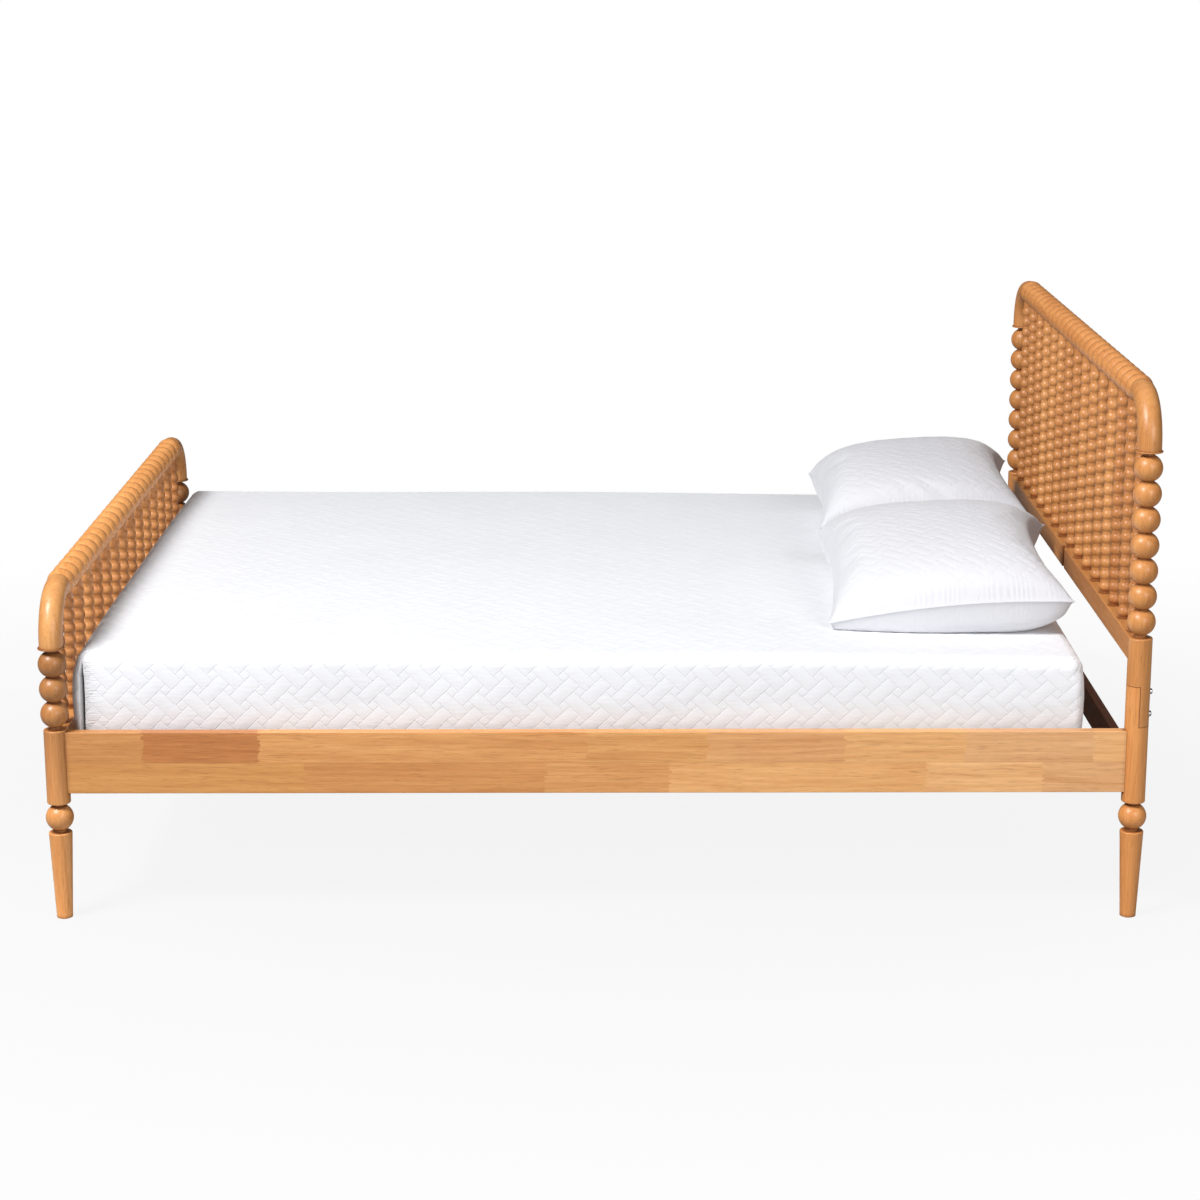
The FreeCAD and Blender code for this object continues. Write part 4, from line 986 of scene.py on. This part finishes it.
def pucker_row(place):
    """Uneven row of small gathers along a seam."""
    wander = sum(reach*np.sin(rate*place) for reach, rate in PUCKER_WANDER)
    slow, slower = (np.sin(rate*place + phase) for rate, phase in PUCKER_BEATS)
    uneven = PUCKER_MEAN + PUCKER_SWING*slow*slower
    return uneven*np.sin(2*math.pi*place/PUCKER_PITCH + wander)


def puckers(cloth):
    """Height of the small gathers that run from the seams into a pillow."""
    from_seam = PILLOW_CLOTH/2 - np.abs(cloth)
    gathers = np.zeros(len(cloth))
    for across, along in ((0, 1), (1, 0)):
        fade = np.exp(-from_seam[:, across]/PUCKER_RUN)*smooth_step(from_seam[:, across]/PUCKER_START)
        gathers += pucker_row(cloth[:, along])*fade*smooth_step(from_seam[:, along]/PUCKER_END)
    return PUCKER_DEPTH*gathers


def pillow(name, body, ears, draws, height):
    """Plump pillow in a quilted cover with a plain back, which is tinted lighter as painted light."""
    obj = pillow_blank(name, ears, draws, height)
    inflate(obj)
    subdivide(obj)
    mesh = obj.data
    places, cloth = read_places(mesh), read_cloth(mesh)
    quilted = read_stored(mesh, "quilted")
    from_hem = np.min(PILLOW_CLOTH/2 - np.abs(cloth), axis=1)
    quilt_share = quilted*smooth_step((from_hem - PILLOW_QUILT_START)/PILLOW_QUILT_FADE)
    quilting = quilt_height(cloth, PILLOW_PUFF, PILLOW_RUN)*quilt_share
    gathers = puckers(cloth)*(BACK_GATHERS + (1 - BACK_GATHERS)*quilted)
    places += read_normals(mesh)*(quilting + gathers)[:, None]
    rest = MATTRESS_HIGH.z + top_shape(places[:, 0], places[:, 1]) + PILLOW_REST
    places[:, 2] = np.maximum(places[:, 2], rest)
    write_places(mesh, places)
    mesh.materials.clear()
    mesh.materials.append(cotton(f"{name}_cotton", PILLOW_WHITE, PILLOW_SHADE, PILLOW_STITCHES, "quilted",
                                 PILLOW_BACK_LIT))
    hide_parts(body)
    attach(obj, body)


# floor, light and camera

FLOOR_REACH = 30.0
FLOOR_FAR = 3*FLOOR_REACH
FLOOR_PALE, FLOOR_DEEP = grey(0.35), grey(0.33)
FLOOR_GLOW = 0.89
GLOW_SHAPE = (0.8, 1.0, 1.0)
GLOW_NEAR, GLOW_FAR = 1.0, 2.6

SKY_LIGHT = 0.11
SKY_MIRRORED = 0.10
SKY_COLOUR = (0.96, 0.98, 1.0, 1.0)

# soft boxes: name, place, aim, size and power in watts
SOFT_BOXES = (
    ("key", (-3.6, -3.6, 6.0), (0.2, 0.0, 0.5), 2.2, 690.0),
    ("front", (3.0, -6.0, 3.0), (0.2, -0.3, 0.4), 2.6, 180.0),
    ("overhead", (0.6, 1.0, 4.3), (0.4, 0.1, 0.4), 2.6, 10.0),
)

CAMERA_PLACE = (0.01925, -5.73007, 1.92590)
CAMERA_YAW, CAMERA_PITCH, CAMERA_ROLL = -0.00203, 0.23748, -0.00203
FOCAL_PIXELS = 2660.89
IMAGE_PIXELS = 1200
PRINCIPAL_DROP = 42
SENSOR_WIDTH = 36.0
FAR_CLIP = 200.0


def mix_shaders(tree, factor, first, second, output):
    """Blend two shaders into an output."""
    blend = add(tree, "MixShader", Fac=factor)
    tree.links.new(first, blend.inputs[1])
    tree.links.new(second, blend.inputs[2])
    tree.links.new(blend.outputs["Shader"], output.inputs["Surface"])


def floor():
    """Pale floor under the bed, which turns white away from it."""
    corners = np.array((
        (-FLOOR_REACH, -FLOOR_REACH, 0), (FLOOR_REACH, -FLOOR_REACH, 0),
        (FLOOR_REACH, FLOOR_FAR, 0), (-FLOOR_REACH, FLOOR_FAR, 0)))
    obj = new_object("floor", corners, [(0, 1, 2, 3)], smooth=False)
    material, tree, shader = new_material("pale_floor")
    place = add(tree, "TexCoord").outputs["Object"]
    cloud = noise(tree, place, scale=0.8, detail=2.0)
    dress(tree, shader, Base_Color=ramp(tree, cloud, ((0.2, FLOOR_PALE), (0.8, FLOOR_DEEP))),
          Roughness=0.9, Specular_IOR_Level=0.1)
    glow = add(tree, "Emission", Color=grey(1.0), Strength=1.0)
    seen = add(tree, "LightPath").outputs["Is Camera Ray"]
    from_bed = add(tree, "VectorMath", {"operation": "LENGTH"}, Vector=scaled(tree, place, GLOW_SHAPE))
    whiteness = spread(tree, from_bed.outputs["Value"], GLOW_NEAR, GLOW_FAR, FLOOR_GLOW, 1.0)
    output = next(node for node in tree.nodes if node.type == "OUTPUT_MATERIAL")
    mix_shaders(tree, times(tree, seen, whiteness), shader.outputs["BSDF"], glow.outputs["Emission"], output)
    obj.data.materials.append(material)


def sky():
    """Even studio light from all round, white where the camera sees it and dim in reflections."""
    world = bpy.data.worlds.new("studio")
    world.use_nodes = True
    tree = world.node_tree
    tree.nodes.clear()
    path = add(tree, "LightPath")
    strength = spread(tree, path.outputs["Is Glossy Ray"], 0.0, 1.0, SKY_LIGHT, SKY_MIRRORED)
    light = add(tree, "Background", Color=SKY_COLOUR, Strength=strength)
    white = add(tree, "Background", Color=grey(1.0), Strength=1.0)
    output = add(tree, "OutputWorld")
    mix_shaders(tree, path.outputs["Is Camera Ray"], light.outputs["Background"], white.outputs["Background"],
                output)
    scene.world = world


def soft_light(name, place, aim, size, power):
    """Large soft box aimed at a point."""
    lamp = bpy.data.lights.new(name, "AREA")
    lamp.shape = "SQUARE"
    lamp.size = size
    lamp.energy = power
    obj = bpy.data.objects.new(name, lamp)
    obj.location = place
    obj.rotation_euler = (Vector(aim) - Vector(place)).to_track_quat("-Z", "Y").to_euler()
    scene.collection.objects.link(obj)


def camera():
    """Camera at the photograph's viewing angle."""
    level = Vector((math.sin(CAMERA_YAW), math.cos(CAMERA_YAW), 0.0))
    ahead = level*math.cos(CAMERA_PITCH) - Vector((0.0, 0.0, math.sin(CAMERA_PITCH)))
    right = Vector((math.cos(CAMERA_YAW), -math.sin(CAMERA_YAW), 0.0))
    up = right.cross(ahead)
    turned_right = math.cos(CAMERA_ROLL)*right + math.sin(CAMERA_ROLL)*up
    turned_up = math.cos(CAMERA_ROLL)*up - math.sin(CAMERA_ROLL)*right
    lens = bpy.data.cameras.new("camera")
    lens.sensor_width = SENSOR_WIDTH
    lens.lens = FOCAL_PIXELS/IMAGE_PIXELS*SENSOR_WIDTH
    lens.shift_y = -PRINCIPAL_DROP/IMAGE_PIXELS
    lens.clip_end = FAR_CLIP
    obj = bpy.data.objects.new("camera", lens)
    axes = Matrix((turned_right, turned_up, -ahead)).transposed()
    obj.matrix_world = Matrix.Translation(CAMERA_PLACE) @ axes.to_4x4()
    scene.collection.objects.link(obj)
    scene.camera = obj


paint_honey_pieces()
paint_foot_posts()
paint_spindles()
paint_side_rails()
paint_base()
paint_fittings()
mattress_cover()
pillow("pillow_case_right", "pillow_right", RIGHT_EARS, RIGHT_DRAWS, RIGHT_HEIGHT)
pillow("pillow_case_left", "pillow_left", LEFT_EARS, LEFT_DRAWS, LEFT_HEIGHT)
floor()
sky()
for soft_box in SOFT_BOXES:
    soft_light(*soft_box)
camera()
scene.view_settings.view_transform = "Standard"
